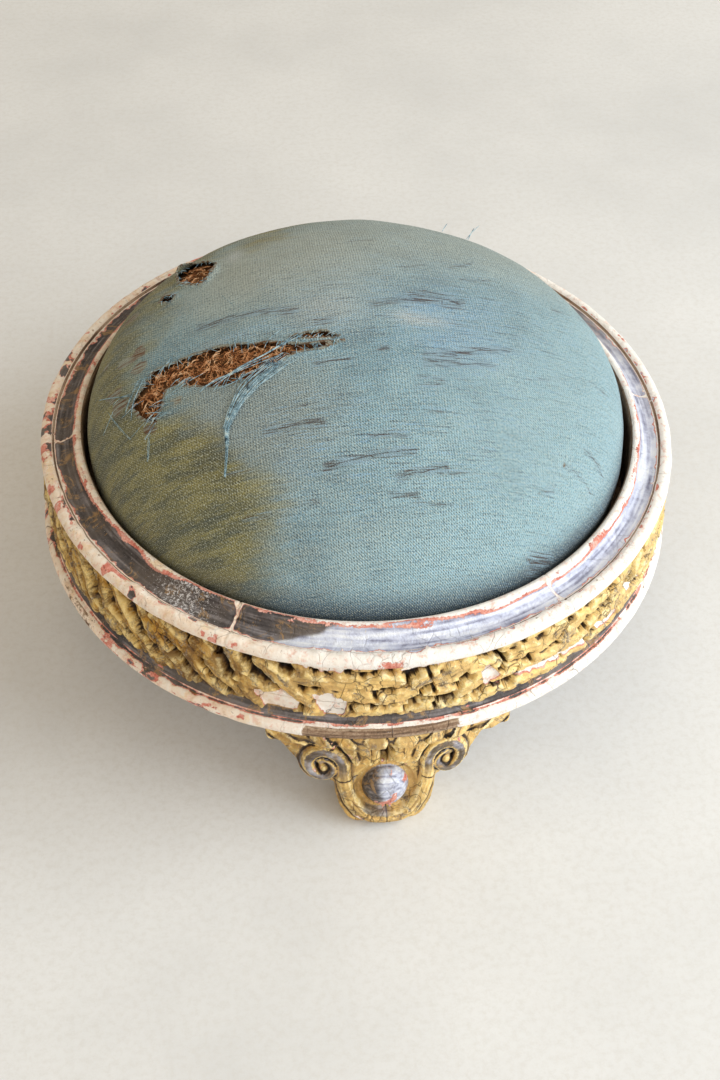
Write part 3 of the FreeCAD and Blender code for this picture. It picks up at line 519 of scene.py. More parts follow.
class Finish:
    """A material, built node by node."""

    def __init__(self, name):
        self.material = bpy.data.materials.new(name)
        self.material.use_nodes = True
        self.tree = self.material.node_tree
        self.shader = self.tree.nodes["Principled BSDF"]

    def node(self, kind, settings=None, inputs=None, output=0):
        """Add a node, set it, feed its sockets and give its output."""
        node = self.tree.nodes.new(f"ShaderNode{kind}")
        for name, setting in (settings or {}).items():
            if name == "stops":
                while len(node.color_ramp.elements) < len(setting):
                    node.color_ramp.elements.new(1)
                for element, (place, colour) in zip(node.color_ramp.elements, setting):
                    element.position, element.color = place, colour
            else:
                setattr(node, name, setting)
        for key, given in (inputs or {}).items():
            if isinstance(given, Wire):
                self.tree.links.new(given.socket, node.inputs[key])
            else:
                node.inputs[key].default_value = given
        return Wire(self, node.outputs[output])

    def places(self, stretch=(1, 1, 1), source="Object"):
        spot = self.node("TexCoord", output=source)
        return self.node("Mapping", inputs={"Vector": spot, "Scale": stretch})

    def noise(self, size, detail, roughness, stretch=(1, 1, 1), source="Object", warp=0.0):
        inputs = {"Vector": self.places(stretch, source), "Scale": 1 / size, "Detail": detail}
        return self.node("TexNoise", inputs={**inputs, "Roughness": roughness, "Distortion": warp})

    def mask(self, name):
        return self.node("Attribute", {"attribute_name": name}, output="Fac")

    def ramp(self, value, *stops):
        return self.node("ValToRGB", {"stops": stops}, {"Fac": value})

    def step(self, value, low, high, first=0.0, last=1.0):
        inputs = {"Value": value, "From Min": low, "From Max": high, "To Min": first, "To Max": last}
        return self.node("MapRange", {"interpolation_type": "SMOOTHSTEP"}, inputs)

    def mix(self, share, first, second):
        return self.node("Mix", {"data_type": "RGBA"}, {0: share, 6: first, 7: second}, 2)

    def bump(self, height, strength, depth, under=None):
        inputs = {"Height": height, "Strength": strength, "Distance": depth}
        if under:
            inputs["Normal"] = under
        return self.node("Bump", inputs=inputs)

    def give(self, **sockets):
        for name, given in sockets.items():
            socket = self.shader.inputs[name.replace("_", " ")]
            if isinstance(given, Wire):
                self.tree.links.new(given.socket, socket)
            else:
                socket.default_value = given
        return self.material


def gilding(name):
    """Wood under gesso under red bole under silver or gold leaf, each showing where it is worn through, with
    painted light towards the lamp, painted shade in the hollows and away from it, painted highlights on the
    crests and painted glare on the silver.
    """
    f = Finish(name)
    hollow, gold, pale = f.mask("hollow"), f.mask("gold"), f.mask("pale")
    fine = f.noise(0.0014, 4, 0.65)
    patch = f.noise(0.008, 6, 0.64, warp=0.4)
    broad = f.noise(0.045, 4, 0.55)
    level = f.mask("wear") + (fine - 0.5) * 0.14 + (patch - 0.5) * 0.20

    gold_stops = (
        (0.34, paint(150, 98, 30)), (0.43, paint(206, 146, 44)), (0.5, paint(234, 176, 66)),
        (0.58, paint(246, 202, 104)), (0.68, paint(252, 228, 160)),
    )
    gold_leaf = f.ramp(patch * 0.7 + fine * 0.3, *gold_stops)
    gold_leaf = f.mix(f.step(broad, 0.42, 0.6, 0, 0.5), gold_leaf, paint(164, 122, 62))
    # Browner and darker away from the lamp, paler towards it: painted shade and painted light.
    gold_leaf = f.mix(f.step(pale, 0, 0.9, 0.5, 0), gold_leaf, paint(120, 84, 28))
    gold_leaf = f.mix(pale * 0.5, gold_leaf, paint(252, 230, 172))
    # Pale gold on the crests: painted highlight.
    gold_leaf = f.mix(f.mask("rub") * 0.75, gold_leaf, paint(250, 224, 150))
    smudge = f.step(f.noise(0.011, 6, 0.75, warp=0.7), 0.54, 0.62, 0, 0.85)
    soot = f.mix(f.step(fine, 0.42, 0.58), paint(92, 82, 72), paint(158, 150, 140))
    gold_leaf = f.mix(smudge, gold_leaf, soot)
    # Dark stains: real marks, made darker and stronger on the side away from the lamp, which is painted
    # shade.
    stain = f.step(f.noise(0.014, 6, 0.8, warp=0.9), 0.45, 0.58)
    dirt = f.mix(pale, paint(88, 58, 22), paint(150, 116, 70))
    gold_leaf = f.mix(stain * (0.72 - pale * 0.44), gold_leaf, dirt)
    # Chips to cream, shown more strongly on the lit side, which is partly painted light.
    chipped = f.step(f.mask("rub") * 0.14 + f.noise(0.0035, 5, 0.8), 0.6, 0.66, 0, 0.85)
    gold_leaf = f.mix(chipped * (0.3 + pale * 0.7), gold_leaf, paint(250, 232, 182))
    # Dark brown in the hollows: painted shade.
    gold_leaf = f.mix(f.step(hollow, 0.3, 0.7, 0, 0.96), gold_leaf, paint(58, 38, 16))

    streak = f.mask("streak") * 0.5 + f.noise(0.010, 6, 0.75) * 0.5
    charcoal_stops = ((0.34, paint(50, 47, 50)), (0.5, paint(88, 84, 86)), (0.64, paint(138, 134, 138)))
    charcoal = f.ramp(streak, *charcoal_stops)
    charcoal = f.mix(f.step(broad, 0.42, 0.58, 0, 0.55), charcoal, paint(108, 99, 92))
    rust_lines = f.step(f.noise(0.018, 6, 0.8, warp=1.5), 0.53, 0.62, 0, 0.75)
    charcoal = f.mix(rust_lines, charcoal, paint(172, 138, 94))
    silver_spots = f.step(f.noise(0.0013, 4, 0.8) + f.mask("speckle") * 0.16, 0.66, 0.72, 0, 0.9)
    charcoal = f.mix(silver_spots, charcoal, paint(224, 224, 228))
    # Pale lavender to near white where the silver faces the lamp: painted glare.
    lavender_stops = (
        (0.36, paint(136, 140, 164)), (0.45, paint(182, 188, 212)),
        (0.54, paint(212, 219, 238)), (0.66, paint(236, 241, 250)),
    )
    lavender = f.ramp(streak, *lavender_stops)
    varnish = f.step(f.noise(0.028, 4, 0.7, warp=1.0), 0.64, 0.70, 0, 0.7)
    lavender = f.mix(varnish, lavender, paint(228, 214, 184))
    silver = f.mix(f.mask("film"), charcoal, lavender)
    leaf = f.mix(gold, silver, gold_leaf)

    bole_stops = ((0.34, paint(178, 88, 70)), (0.47, paint(216, 134, 118)), (0.6, paint(238, 188, 174)))
    bole = f.ramp(fine * 0.5 + patch * 0.5, *bole_stops)
    gesso_stops = ((0.28, paint(218, 188, 158)), (0.42, paint(242, 222, 202)), (0.6, paint(247, 238, 226)))
    gesso = f.ramp(patch, *gesso_stops)
    # Gesso whiter towards the lamp, and yellowed and flecked mostly away from it: painted light and painted
    # shade.
    gesso = f.mix(f.step(pale, 0.1, 0.9, 0, 0.85), gesso, paint(249, 248, 246))
    gesso = f.mix(f.step(f.noise(0.005, 6, 0.75), 0.52, 0.64, 0, 0.6), gesso, paint(230, 180, 162))
    yellowed = f.step(f.noise(0.013, 4, 0.7), 0.54, 0.64, 0, 0.5) * (1 - pale)
    gesso = f.mix(yellowed, gesso, paint(236, 206, 158))
    flecks = f.step(f.noise(0.003, 5, 0.8, warp=0.5), 0.61, 0.66, 0, 0.8)
    gesso = f.mix(flecks * (1 - pale * 0.6), gesso, paint(120, 92, 74))
    grain = f.mask("streak") * 0.6 + fine * 0.4
    wood = f.ramp(grain, (0.34, paint(84, 66, 54)), (0.5, paint(142, 116, 94)), (0.64, paint(186, 164, 142)))

    to_bole, to_gesso = f.step(level, 0.49, 0.51), f.step(level + (broad - 0.5) * 0.16, 0.575, 0.60)
    colour = f.mix(to_bole, leaf, bole)
    colour = f.mix(to_gesso, colour, gesso)
    colour = f.mix(f.step(level, 0.92, 0.96), colour, wood)
    sway = f.noise(0.02, 3, 0.5) * 0.012
    warped = f.node("VectorMath", {"operation": "ADD"}, {0: f.places((1, 1, 0.45)), 1: sway})
    crazing = f.node("TexVoronoi", {"feature": "DISTANCE_TO_EDGE"}, {"Vector": warped, "Scale": 95})
    crazed = (1 - f.step(crazing, 0.006, 0.028)) * f.step(f.noise(0.03, 3, 0.6), 0.46, 0.6)
    colour = f.mix(crazed * (0.12 + 0.55 * gold), colour, paint(70, 50, 34))
    # Near black deep in slots, joints and hollows: painted shade.
    colour = f.mix(f.step(hollow, 0.80, 0.97), colour, paint(30, 20, 12))
    bare = f.step(level, 0.47, 0.53)
    flake = f.bump(to_bole * 0.4 + to_gesso * 0.6, 0.6, 0.0005)
    relief = f.bump(patch + fine * 0.6 - crazed * 0.6, 0.7, 0.0012, flake)
    return f.give(
        Base_Color=colour,
        Metallic=(1 - bare) * (1 - f.step(hollow, 0.1, 0.6)) * 0.22,
        Roughness=f.step(level, 0.42, 0.58, 0.46, 0.8),
        Normal=relief,
    )


def brush(piece):
    """Long streaks round the ring, as a brush or a rag leaves them, and where the silver is speckled."""
    x, y, z = corners_of(piece).T / MM
    radius = np.hypot(x, y)
    turn = np.arctan2(x, -y)
    streak = 0.5 + 0.5 * rough(turn * BAND_RADIUS / 14, radius * 1.6, z * 1.6, 1.9, 91, 3)
    from_speckle = np.degrees(turn) + CAMERA_TURN + 31
    speckle = np.exp(-((from_speckle / 7) ** 2)) * (radius < 191)
    keep(piece, streak=streak, speckle=speckle)


ring_finish = gilding("gilt_ring")


def lay_course(section, name, node, first_turn):
    """One course of the ring, each felloe carved and worn by where it lies."""
    blank = turned_blank(f"{name}_blank", section, 360 / FELLOES, 250)
    for number in range(FELLOES):
        felloe = another(blank, f"{name}_{number + 1}", math.radians(number * 360 / FELLOES + first_turn))
        brush(felloe)
        gilded_ring(felloe)
        finish_with(felloe, ring_finish, "frame", smooth=60)
        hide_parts(f"{node}_{number + 1}")
    bpy.data.objects.remove(blank)


lay_course(upper_section, "rim_felloe", "upper_felloe", 0)

# Lower course: six more felloes with their joints half a length round from those above. They
# carry the lower leaves, a silvered fillet and the base bead, and reach in as the seat's ledge.
FOOT_HEIGHT, BASE_BEAD_AT, BASE_BEAD = 93.0, 200.0, 5.0
BAND_BASE = (196.0, 109.0)
LOWER_TOP = GLUE_LINE - JOINT_GAP
base_bead = arc((BASE_BEAD_AT, FOOT_HEIGHT + BASE_BEAD), BASE_BEAD, -90, 90)
lower_section = (
    between((LEDGE, FOOT_HEIGHT), base_bead[0], step=9)
    + base_bead
    + between(base_bead[-1], BAND_BASE)[1:]
    + between(BAND_BASE, (BAND_FACE, LOWER_TOP))
    + between((BAND_FACE, LOWER_TOP), (LEDGE, LOWER_TOP), step=8)
    + between((LEDGE, LOWER_TOP), (LEDGE, FOOT_HEIGHT), step=7)
)
lay_course(lower_section, "base_felloe", "lower_felloe", 30)

# Three feet, each carved from one block: a round boss in a sunk ring, a scrolled band that runs
# under it and winds up into a volute each side, two leaves over it and a wing out to each tip.
FACE_TILT = math.radians(16.3)
BOSS_HEIGHT, BOSS, RECESS = 29.0, 14.5, 18.5
VOLUTE_ACROSS, VOLUTE_UP, VOLUTE = 39.0, 18.0, 13.4
CUT_FROM, CUT_DEEP = 145.0, 70.0
# The foot from the side, in radius and height, and half of its outline from the front.
FOOT_TOP_BACK, FOOT_TOP, FOOT_LIP, FOOT_WAIST = (158, 93), (203, 93), (203, 86), (184.5, 61)
FOOT_TOE, FOOT_SOLE, FOOT_HEEL = (201.5, 7), (198.5, 0), (172, 0)
FOOT_HALF = [
    (0, 0), (11, 0), (18.5, 2.2), (24.5, 7.5), (28.8, 15), (31, 24), (31.4, 31), (34.5, 33.2), (41, 31.8),
    (47.5, 33.8), (52, 38.6), (53.8, 45), (58, 50.5), (63.5, 57), (68.5, 66), (71.8, 76), (73, 93.5),
    (0, 93.5),
]


def modified(piece, kind, **settings):
    """Add a modifier, set it and apply it."""
    choose(piece)
    change = piece.modifiers.new(kind.lower(), kind)
    for name, setting in settings.items():
        setattr(change, name, setting)
    bpy.ops.object.modifier_apply(modifier=change.name)


def foot_block():
    """The block of one foot, sawn to its side and then to its front outline."""
    side = (
        between(FOOT_TOP_BACK, FOOT_TOP, step=4)
        + between(FOOT_TOP, FOOT_LIP, step=2)
        + between(FOOT_LIP, FOOT_WAIST, bow=3.6, step=2)
        + between(FOOT_WAIST, FOOT_TOE, bow=1.0, step=2)
        + between(FOOT_TOE, FOOT_SOLE, bow=-1.4, step=2)
        + between(FOOT_SOLE, FOOT_HEEL, step=4)
        + between(FOOT_HEEL, FOOT_TOP_BACK, bow=3.0, step=3)
    )
    block = turned_blank("foot_block", side[::-1], 58, 60)
    outline = FOOT_HALF + [(-x, z) for x, z in FOOT_HALF[-2:0:-1]]
    cutter = begin("circle", "foot_outline", vertices=len(outline), radius=MM, fill_type="NGON")
    put_corners(cutter, [(x * MM, -CUT_FROM * MM, z * MM) for x, z in outline])
    edit_all()
    bpy.ops.mesh.extrude_region_move(TRANSFORM_OT_translate={"value": (0, -CUT_DEEP * MM, 0)})
    face_out(cutter)
    modified(block, "BOOLEAN", operation="INTERSECT", object=cutter, solver="EXACT")
    bpy.data.objects.remove(cutter)
    return block


def remesh(piece, size, smooth):
    """Even a mesh out to cells of one size, then smooth it."""
    modified(piece, "REMESH", mode="VOXEL", voxel_size=size * MM)
    modified(piece, "SMOOTH", iterations=smooth, factor=0.5)


def volute_line():
    """The scrolled band's middle line, from under the boss up the right side and in to the eye."""
    line = [(0, -23.2), (9, -21.8), (16.5, -17.4), (21.8, -9.6), (24.8, 0), (26.0, 9), (26.4, 18)]
    for step in range(1, 25):
        turn = math.pi - TURN * step / 18
        reach = 12.2 - 6.6 * step / 18
        across, up = VOLUTE_ACROSS - 0.8 * step / 18, VOLUTE_UP - 2.2 * step / 18
        line.append((across + reach * math.cos(turn), up + reach * math.sin(turn)))
    return line


FOOT_LEAVES = (
    ((12.6, 39.0), 20.0, 9.6, 1.46, 6.2, 0.5),
    ((24.5, 38.0), 19.0, 4.4, 1.20, 5.4, 2.1),
    ((36.0, 38.5), 15.0, 4.2, 0.16, 5.0, 0.2),
    ((56.0, 43.5), 19.0, 5.2, 0.52, 4.6, 1.1),
    ((62.0, 51.0), 17.0, 3.8, 0.78, 4.2, 2.6),
    ((45.0, 50.5), 17.0, 4.6, 0.30, 3.8, 4.0),
    ((55.0, 59.0), 15.0, 4.0, 0.42, 3.4, 1.6),
    ((9.5, 55.0), 18.0, 7.0, 1.62, 5.4, 2.2),
    ((24.5, 55.0), 16.0, 5.6, 1.25, 4.8, 3.3),
    ((38.5, 60.0), 13.0, 4.6, 0.9, 4.6, 0.9),
    ((66.0, 64.0), 12.0, 4.0, 0.6, 3.8, 2.0),
)
# Cracks in the foot: level ones by height, ends and lean, upright ones by place and ends.
LEVEL_CRACKS = ((5.5, -32, -17, 0.1), (22.0, -45, -30, 0.7), (7.0, 22, 30, -0.4))
UPRIGHT_CRACKS = ((-9.5, 22, 42), (10.8, 25, 40), (-38.5, 19, 31), (19.0, 30, 44))


def foot_relief(w, u):
    """Height of the carving on the foot's leaning face, with its masks."""
    across = np.abs(w)
    away = np.hypot(w, u)
    height = -1.4 + 0.6 * lumps(w, u, 0, 6, 61)
    below = 1 - ease(away, RECESS - 0.8, RECESS + 0.8)
    height = height * (1 - below) - 3.8 * below
    band, along = line_distance(across, u, volute_line())
    width = 5.0 - 3.0 * ease(along, 66, 140)
    share = band / width
    roll = np.clip(1 - share**2.6, 0, 1) ** 0.5
    grooves = 1.5 * np.exp(-(((share - 0.28) / 0.16) ** 2)) + 0.7 * np.exp(-(((share - 0.72) / 0.1) ** 2))
    fading = 1 - 0.6 * ease(along, 70, 100)
    scroll = np.where(share < 1, -1.6 + 5.4 * roll - grooves * fading, UNCARVED)
    drum = 1 - ease(np.hypot(across - VOLUTE_ACROSS, u - VOLUTE_UP), VOLUTE - 0.9, VOLUTE + 0.4)
    height = height * (1 - drum) - 1.6 * drum
    eye_across, eye_up = VOLUTE_ACROSS - 1.0, VOLUTE_UP - 3.6
    pit = 1 - ease(np.hypot(across - eye_across, (u - eye_up - 1.2) * 0.9), 3.6, 5.4)
    height = np.maximum(height, scroll) - 3.4 * pit
    eye = np.hypot(across - eye_across, u - eye_up) / 2.7
    eye_top = -1.2 + 3.6 * np.sqrt(np.clip(1 - eye**2, 0, 1))
    height = np.maximum(height, np.where(eye < 1, eye_top, UNCARVED))
    for leaf in FOOT_LEAVES:
        height = np.maximum(height, leaf_relief(across, u, *leaf) - 1.4)
    slot = (1 - ease(np.abs(w + 0.4), 1.7, 3.0)) * ease(u, 17, 19.5) * (1 - ease(u, 40, 43))
    height = height - 9 * slot
    boss = away / BOSS
    boss_top = -4.2 + 10.6 * np.sqrt(np.clip(1 - boss**2, 0, 1))
    height = np.where(boss < 1, np.maximum(height, boss_top), height)
    upright = np.abs(w - 0.8 - 1.1 * lumps(u, 0, 0, 6, 71))
    crack = (1 - ease(upright, 0.2, 0.75)) * (u < 13)
    for number, (low, left, right, lean) in enumerate(LEVEL_CRACKS, start=1):
        line = np.abs(u - low - lean * (w - left) - 0.9 * lumps(w, 0, 0, 5, 72 + number))
        crack = np.maximum(crack, (1 - ease(line, 0.2, 0.8)) * (w > left) * (w < right))
    for place, low, high in UPRIGHT_CRACKS:
        line = np.abs(w - place - 0.9 * lumps(u, 0, 0, 6, 80 + place))
        crack = np.maximum(crack, 0.8 * (1 - ease(line, 0.15, 0.6)) * (u > low) * (u < high))
    silvered = np.maximum(drum * (share > 0.9) * (eye > 1), (share < 0.48) * window_of(along, 48, 122, 8))
    under_boss = (1 - ease(along, 14, 24)) * (1 - ease(w, -2, 6))
    silvered = np.maximum(silvered, 0.9 * (share > 0.5) * (share < 1) * under_boss)
    return height - 0.9 * crack, slot, silvered, crack, boss < 1


def foot_leaning():
    """Lean of each point's surface towards the viewer, and its place on the leaning face."""
    places = corners_of(foot) / MM
    normal = normals_of(foot)
    facing = -normal[:, 1] * math.cos(FACE_TILT) + normal[:, 2] * math.sin(FACE_TILT)
    return places, facing, (places[:, 2] - BOSS_HEIGHT) / math.cos(FACE_TILT)


foot = foot_block()
remesh(foot, 0.9, 6)
places, facing, up_face = foot_leaning()
height = foot_relief(places[:, 0], up_face)[0] * ease(facing, 0.25, 0.75)
height = height * (1 - ease(places[:, 2], 88, 92)) * ease(places[:, 2], 0.0, 2.5)
out = np.array([0, -math.cos(FACE_TILT), math.sin(FACE_TILT)])
places = places + out * height[:, None]
put_corners(foot, places * MM)
remesh(foot, 0.8, 1)
places, facing, up_face = foot_leaning()
places[:, 2] = np.clip(places[:, 2], 0, FOOT_HEIGHT - JOINT_GAP)
FOOT_REACH = 206
reach = np.hypot(places[:, 0], places[:, 1])
places[:, :2] *= (np.minimum(reach, FOOT_REACH) / reach)[:, None]
put_corners(foot, places * MM)
face_out(foot)
places, facing, up_face = foot_leaning()
facing = ease(facing, -0.2, 0.2)
up_face = up_face - foot_relief(places[:, 0], up_face)[0] * facing * math.tan(FACE_TILT)
height, slot, silvered, crack, on_boss = foot_relief(places[:, 0], up_face)
NEARBY = ((2.4, 0), (-2.4, 0), (0, 2.4), (0, -2.4))
around = sum(foot_relief(places[:, 0] + dx, up_face + du)[0] for dx, du in NEARBY) / len(NEARBY)
depth = around - height
chips = rough(*places.T, 8, 81, 4)
recess = (np.hypot(places[:, 0], up_face) < RECESS + 1) * ~on_boss
# Hollows, the boss's recess, the slot and the cracks are darkened in the finish: painted shade.
hollow = np.clip(0.14 + depth / 2.2 + 0.3 * recess, 0, 1) * facing * ~on_boss
hollow = np.where(recess, np.minimum(hollow, 0.36), hollow)
hollow = np.maximum(np.maximum(hollow, slot * facing), 0.85 * crack * facing)
loss = -2.4 + 2.0 * np.clip(-depth / 1.4, 0, 1) * facing + 2.2 * ease(chips, 0.3, 0.7)
flaked = -1.6 + 3.6 * rough(places[:, 0], up_face, 0, 8, 82, 4)
flaked = flaked + 1.2 * ease(-up_face, -2, 10) * (places[:, 0] < 6)
loss = np.where(on_boss & (facing > 0.4), flaked, loss)
loss = np.where((normals_of(foot)[:, 1] > 0.3) | (places[:, 2] < 0.4), 5, loss)
# The boss's right half, towards the lamp, takes the same pale lavender: painted glare.
film = on_boss * facing * ease(places[:, 0] + 5 * chips, -8, 0) + 0.6 * silvered * ease(chips, -0.2, 0.3)
gold = 1 - np.clip(silvered * 0.9 + on_boss, 0, 1) * facing
keep(foot, wear=0.5 + loss / 8, hollow=hollow, rub=np.clip(-depth / 1.5, 0, 1), gold=gold, film=film)
# Paler towards the right, where the lamp is: painted light.
keep(foot, pale=0.4 + 0.5 * ease(places[:, 0], -45, 35))
brush(foot)
FOOT_NODES = ("foot_front", "foot_back_right", "foot_back_left")
foot_finish = gilding("gilt_foot")
for number, node in enumerate(FOOT_NODES):
    carved = another(foot, f"carved_{node}", math.radians(120 * number))
    finish_with(carved, foot_finish, "frame", smooth=70)
    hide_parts(node)
bpy.data.objects.remove(foot)

# Dowels in the feet and the seat's half-lapped ring: plain beech, browned with age. Both are kept
# as the frame has them and get a finish only.


def coat(names, finish):
    """Give pieces that are kept from the frame a material of their own."""
    for name in names:
        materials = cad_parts[name].data.materials
        materials.clear()
        materials.append(finish)


def bare_wood(name, dark, light):
    """Bare wood with a long figure and fine pores."""
    f = Finish(name)
    figure = f.noise(0.03, 6, 0.7, stretch=(1, 1, 5), warp=0.8)
    pores = f.noise(0.0012, 3, 0.6, stretch=(1, 1, 4))
    colour = f.ramp(figure, (0.28, dark), (0.62, light))
    colour = f.mix(f.step(pores, 0.6, 0.7, 0, 0.5), colour, dark)
    relief = f.bump(figure + pores, 0.4, 0.0005)
    return f.give(Base_Color=colour, Roughness=f.step(figure, 0.3, 0.7, 0.6, 0.8), Normal=relief)


beech = bare_wood("bare_wood", paint(84, 56, 34), paint(150, 112, 74))
coat(["foot_dowels"] + [f"seat_ring_{n + 1}" for n in range(4)], beech)

# Cut tacks that hold the webbing and the cover's edge: blued iron, rusting. They too are kept from
# the frame and get a finish only.
rust = Finish("tack")
spots = rust.noise(0.0015, 5, 0.7)
rust.give(
    Base_Color=rust.ramp(spots, (0.35, paint(52, 48, 50)), (0.6, paint(118, 66, 38))),
    Metallic=rust.step(spots, 0.4, 0.6, 0.9, 0.2),
    Roughness=rust.step(spots, 0.4, 0.6, 0.4, 0.85),
)
coat(["webbing_tacks", "cover_tacks"], rust.material)

# Webbing: six strips of jute, three each way, woven over and under each other and tacked to the top
# of the seat's ring.
WEB_WIDTH, WEB_THICK, WEB_STEP, WOOD_TOP = 50.0, 1.5, 75.0, 143.0
WEB_REACH, WEB_RISE = 162.0, 1.7


def woven(name, first, second, size):
    """A plain weave: threads across and along, each dipping under the next."""
    f = Finish(name)
    spot = f.node("TexCoord", output="UV")
    parts = [f.node("SeparateXYZ", inputs={"Vector": spot}, output=axis) for axis in (0, 1)]
    waves = [f.node("Math", {"operation": "SINE"}, {0: part * (TURN / (size * MM))}) for part in parts]
    relief = waves[0] * waves[1]
    dirt = f.noise(0.02, 5, 0.6)
    colour = f.mix(f.step(relief, -0.6, 0.6), first, second)
    dark = tuple(c * 0.55 for c in first[:3]) + (1,)
    colour = f.mix(f.step(dirt, 0.35, 0.65, 0, 0.5), colour, dark)
    return f.give(Base_Color=colour, Roughness=0.9, Normal=f.bump(relief + dirt * 0.5, 0.5, 0.0005))


jute = woven("webbing", paint(120, 92, 58), paint(172, 140, 96), 3.0)
for along, way in enumerate(("across", "along")):
    for number, place in enumerate((-1, 0, 1), start=1):
        name = f"webbing_{way}_{number}"
        end = math.sqrt(WEB_REACH**2 - (abs(place) * WEB_STEP + WEB_WIDTH / 2) ** 2)
        strip = begin("grid", f"web_{way}_{number}", x_subdivisions=90, y_subdivisions=6, size=1)
        flat = corners_of(strip)
        run, side = flat[:, 0] * 2 * end, flat[:, 1] * WEB_WIDTH
        over = 1 if (place + along) % 2 == 0 else -1
        lift = 0.5 - 0.5 * over * np.cos(np.pi * run / WEB_STEP)
        lift = lift * (1 - ease(np.abs(run), end - 24, end - 12))
        level = WOOD_TOP + WEB_THICK / 2 + WEB_RISE * lift
        side = side + place * WEB_STEP
        put_corners(strip, np.stack([side, run, level] if along else [run, side, level], -1) * MM)
        face_out(strip)
        modified(strip, "SOLIDIFY", thickness=WEB_THICK * MM, offset=0)
        for loop in strip.data.uv_layers[0].data:
            loop.uv = (loop.uv[0] * 2 * end * MM, loop.uv[1] * WEB_WIDTH * MM)
        finish_with(strip, jute, "seat")
        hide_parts(name)

# Hessian: a round of coarse jute cloth laid over the webbing, under the stuffing. The cover,
# strained over both, keeps it in place.
HESSIAN_RADIUS, HESSIAN_LEVEL = 0.161, 0.1469


def disc_grid(name, cells):
    """A square grid pulled out to a round, so that it has no pole."""
    piece = begin("grid", name, x_subdivisions=cells, y_subdivisions=cells, size=2)
    x, y, _ = corners_of(piece).T
    return piece, x * np.sqrt(1 - y * y / 2), y * np.sqrt(1 - x * x / 2)


def lay_uv(piece, flat):
    """Lay the cloth's own flat places, in metres, as its UV map."""
    index = np.zeros(len(piece.data.loops), int)
    piece.data.loops.foreach_get("vertex_index", index)
    layer = piece.data.uv_layers[0] if piece.data.uv_layers else piece.data.uv_layers.new(name="UVMap")
    layer.data.foreach_set("uv", flat[index].ravel())


hessian, x, y = disc_grid("hessian_cloth", 60)
x, y = x * HESSIAN_RADIUS, y * HESSIAN_RADIUS
dimples = 0.00015 * np.cos(x * 40 / HESSIAN_RADIUS) * np.cos(y * 40 / HESSIAN_RADIUS)
put_corners(hessian, np.stack([x, y, HESSIAN_LEVEL + dimples], -1))
lay_uv(hessian, np.stack([x, y], -1))
face_out(hessian)
modified(hessian, "SOLIDIFY", thickness=0.001, offset=0)
finish_with(hessian, woven("hessian", paint(128, 102, 66), paint(178, 150, 108), 2.0), "seat")
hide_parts("hessian")

# Stuffing: a domed pad of brown plant fibre laid on the hessian, picked open in the tears. It
# stands a little proud where the cover lets it.
SWELL_HEIGHT, CROWN_HEIGHT, SEAT_BASE = 159.8, 247.8, 121.3
SIDE_CENTRE, SIDE_RADIUS = 109.5, 61.0
RISE = CROWN_HEIGHT - SWELL_HEIGHT
TOP_RADIUS = (SIDE_CENTRE**2 + RISE**2 - SIDE_RADIUS**2) / (2 * (RISE - SIDE_RADIUS))
TOP_CENTRE = CROWN_HEIGHT - TOP_RADIUS
JOIN = math.asin(SIDE_CENTRE / (TOP_RADIUS - SIDE_RADIUS))
TOP_RUN, SIDE_RUN = TOP_RADIUS * JOIN, SIDE_RADIUS * (math.pi / 2 - JOIN)


def domed(x, y, run, inset):
    """Where cloth lies, by its run from the crown: radius, height, drop below the swell, direction."""
    turn = np.minimum(run / TOP_RADIUS, JOIN)
    more = JOIN + np.clip(run - TOP_RUN, 0, SIDE_RUN) / SIDE_RADIUS
    side = run > TOP_RUN
    round_side, round_top = SIDE_RADIUS - inset, TOP_RADIUS - inset
    reach = np.where(side, SIDE_CENTRE + round_side * np.sin(more), round_top * np.sin(turn))
    height = np.where(side, SWELL_HEIGHT + round_side * np.cos(more), TOP_CENTRE + round_top * np.cos(turn))
    away = np.maximum(np.hypot(x, y), 1e-9)
    return reach, height, np.clip(run - TOP_RUN - SIDE_RUN, 0, None), x / away, y / away


pad, x, y = disc_grid("stuffing_pad", 90)
share = np.hypot(x, y)
run = share * (TOP_RUN + SIDE_RUN + 13.0)
PAD_FLOOR, PAD_INSET, PAD_SWELL = 143.6, 5.2, 2.6
reach, height, down, cx, cy = domed(x, y, run, PAD_INSET)
reach = np.where(down > 0, reach - down * 0.1, reach)
put_corners(pad, np.stack([cx * reach, cy * reach, np.maximum(height - down, PAD_FLOOR)], -1) * MM)
edit_all()
bpy.ops.mesh.select_mode(type="EDGE")
bpy.ops.mesh.region_to_loop()
bpy.ops.mesh.extrude_region_move(TRANSFORM_OT_translate={"value": (0, 0, 0)})
bpy.ops.transform.resize(value=(0.95, 0.95, 1), center_override=(0, 0, PAD_FLOOR * MM))
bpy.ops.mesh.edge_face_add()
bpy.ops.object.mode_set(mode="OBJECT")
face_out(pad)


HELD_BELOW, SWELLING_FRAMES = 158.0, 20


def plump(piece, cap):
    """Swell the pad with a short cloth simulation, no point moving further than the cap."""
    before = corners_of(piece)
    held = piece.vertex_groups.new(name="held")
    held.add([int(n) for n in np.nonzero(before[:, 2] < HELD_BELOW * MM)[0]], 1.0, "REPLACE")
    choose(piece)
    strain = piece.modifiers.new("strain", "CLOTH")
    strain.settings.quality = 4
    strain.settings.vertex_group_mass = "held"
    strain.settings.use_pressure = True
    strain.settings.uniform_pressure_force = 4
    strain.settings.effector_weights.gravity = 0
    strain.point_cache.frame_end = SWELLING_FRAMES
    for tick in range(1, SWELLING_FRAMES + 1):
        bpy.context.scene.frame_set(tick)
    bpy.ops.object.modifier_apply(modifier=strain.name)
    moved = corners_of(piece) - before
    far = np.maximum(np.linalg.norm(moved, axis=1, keepdims=True), 1e-9)
    put_corners(piece, before + moved * np.minimum(far, cap * MM) / far)
    bpy.context.scene.frame_set(1)


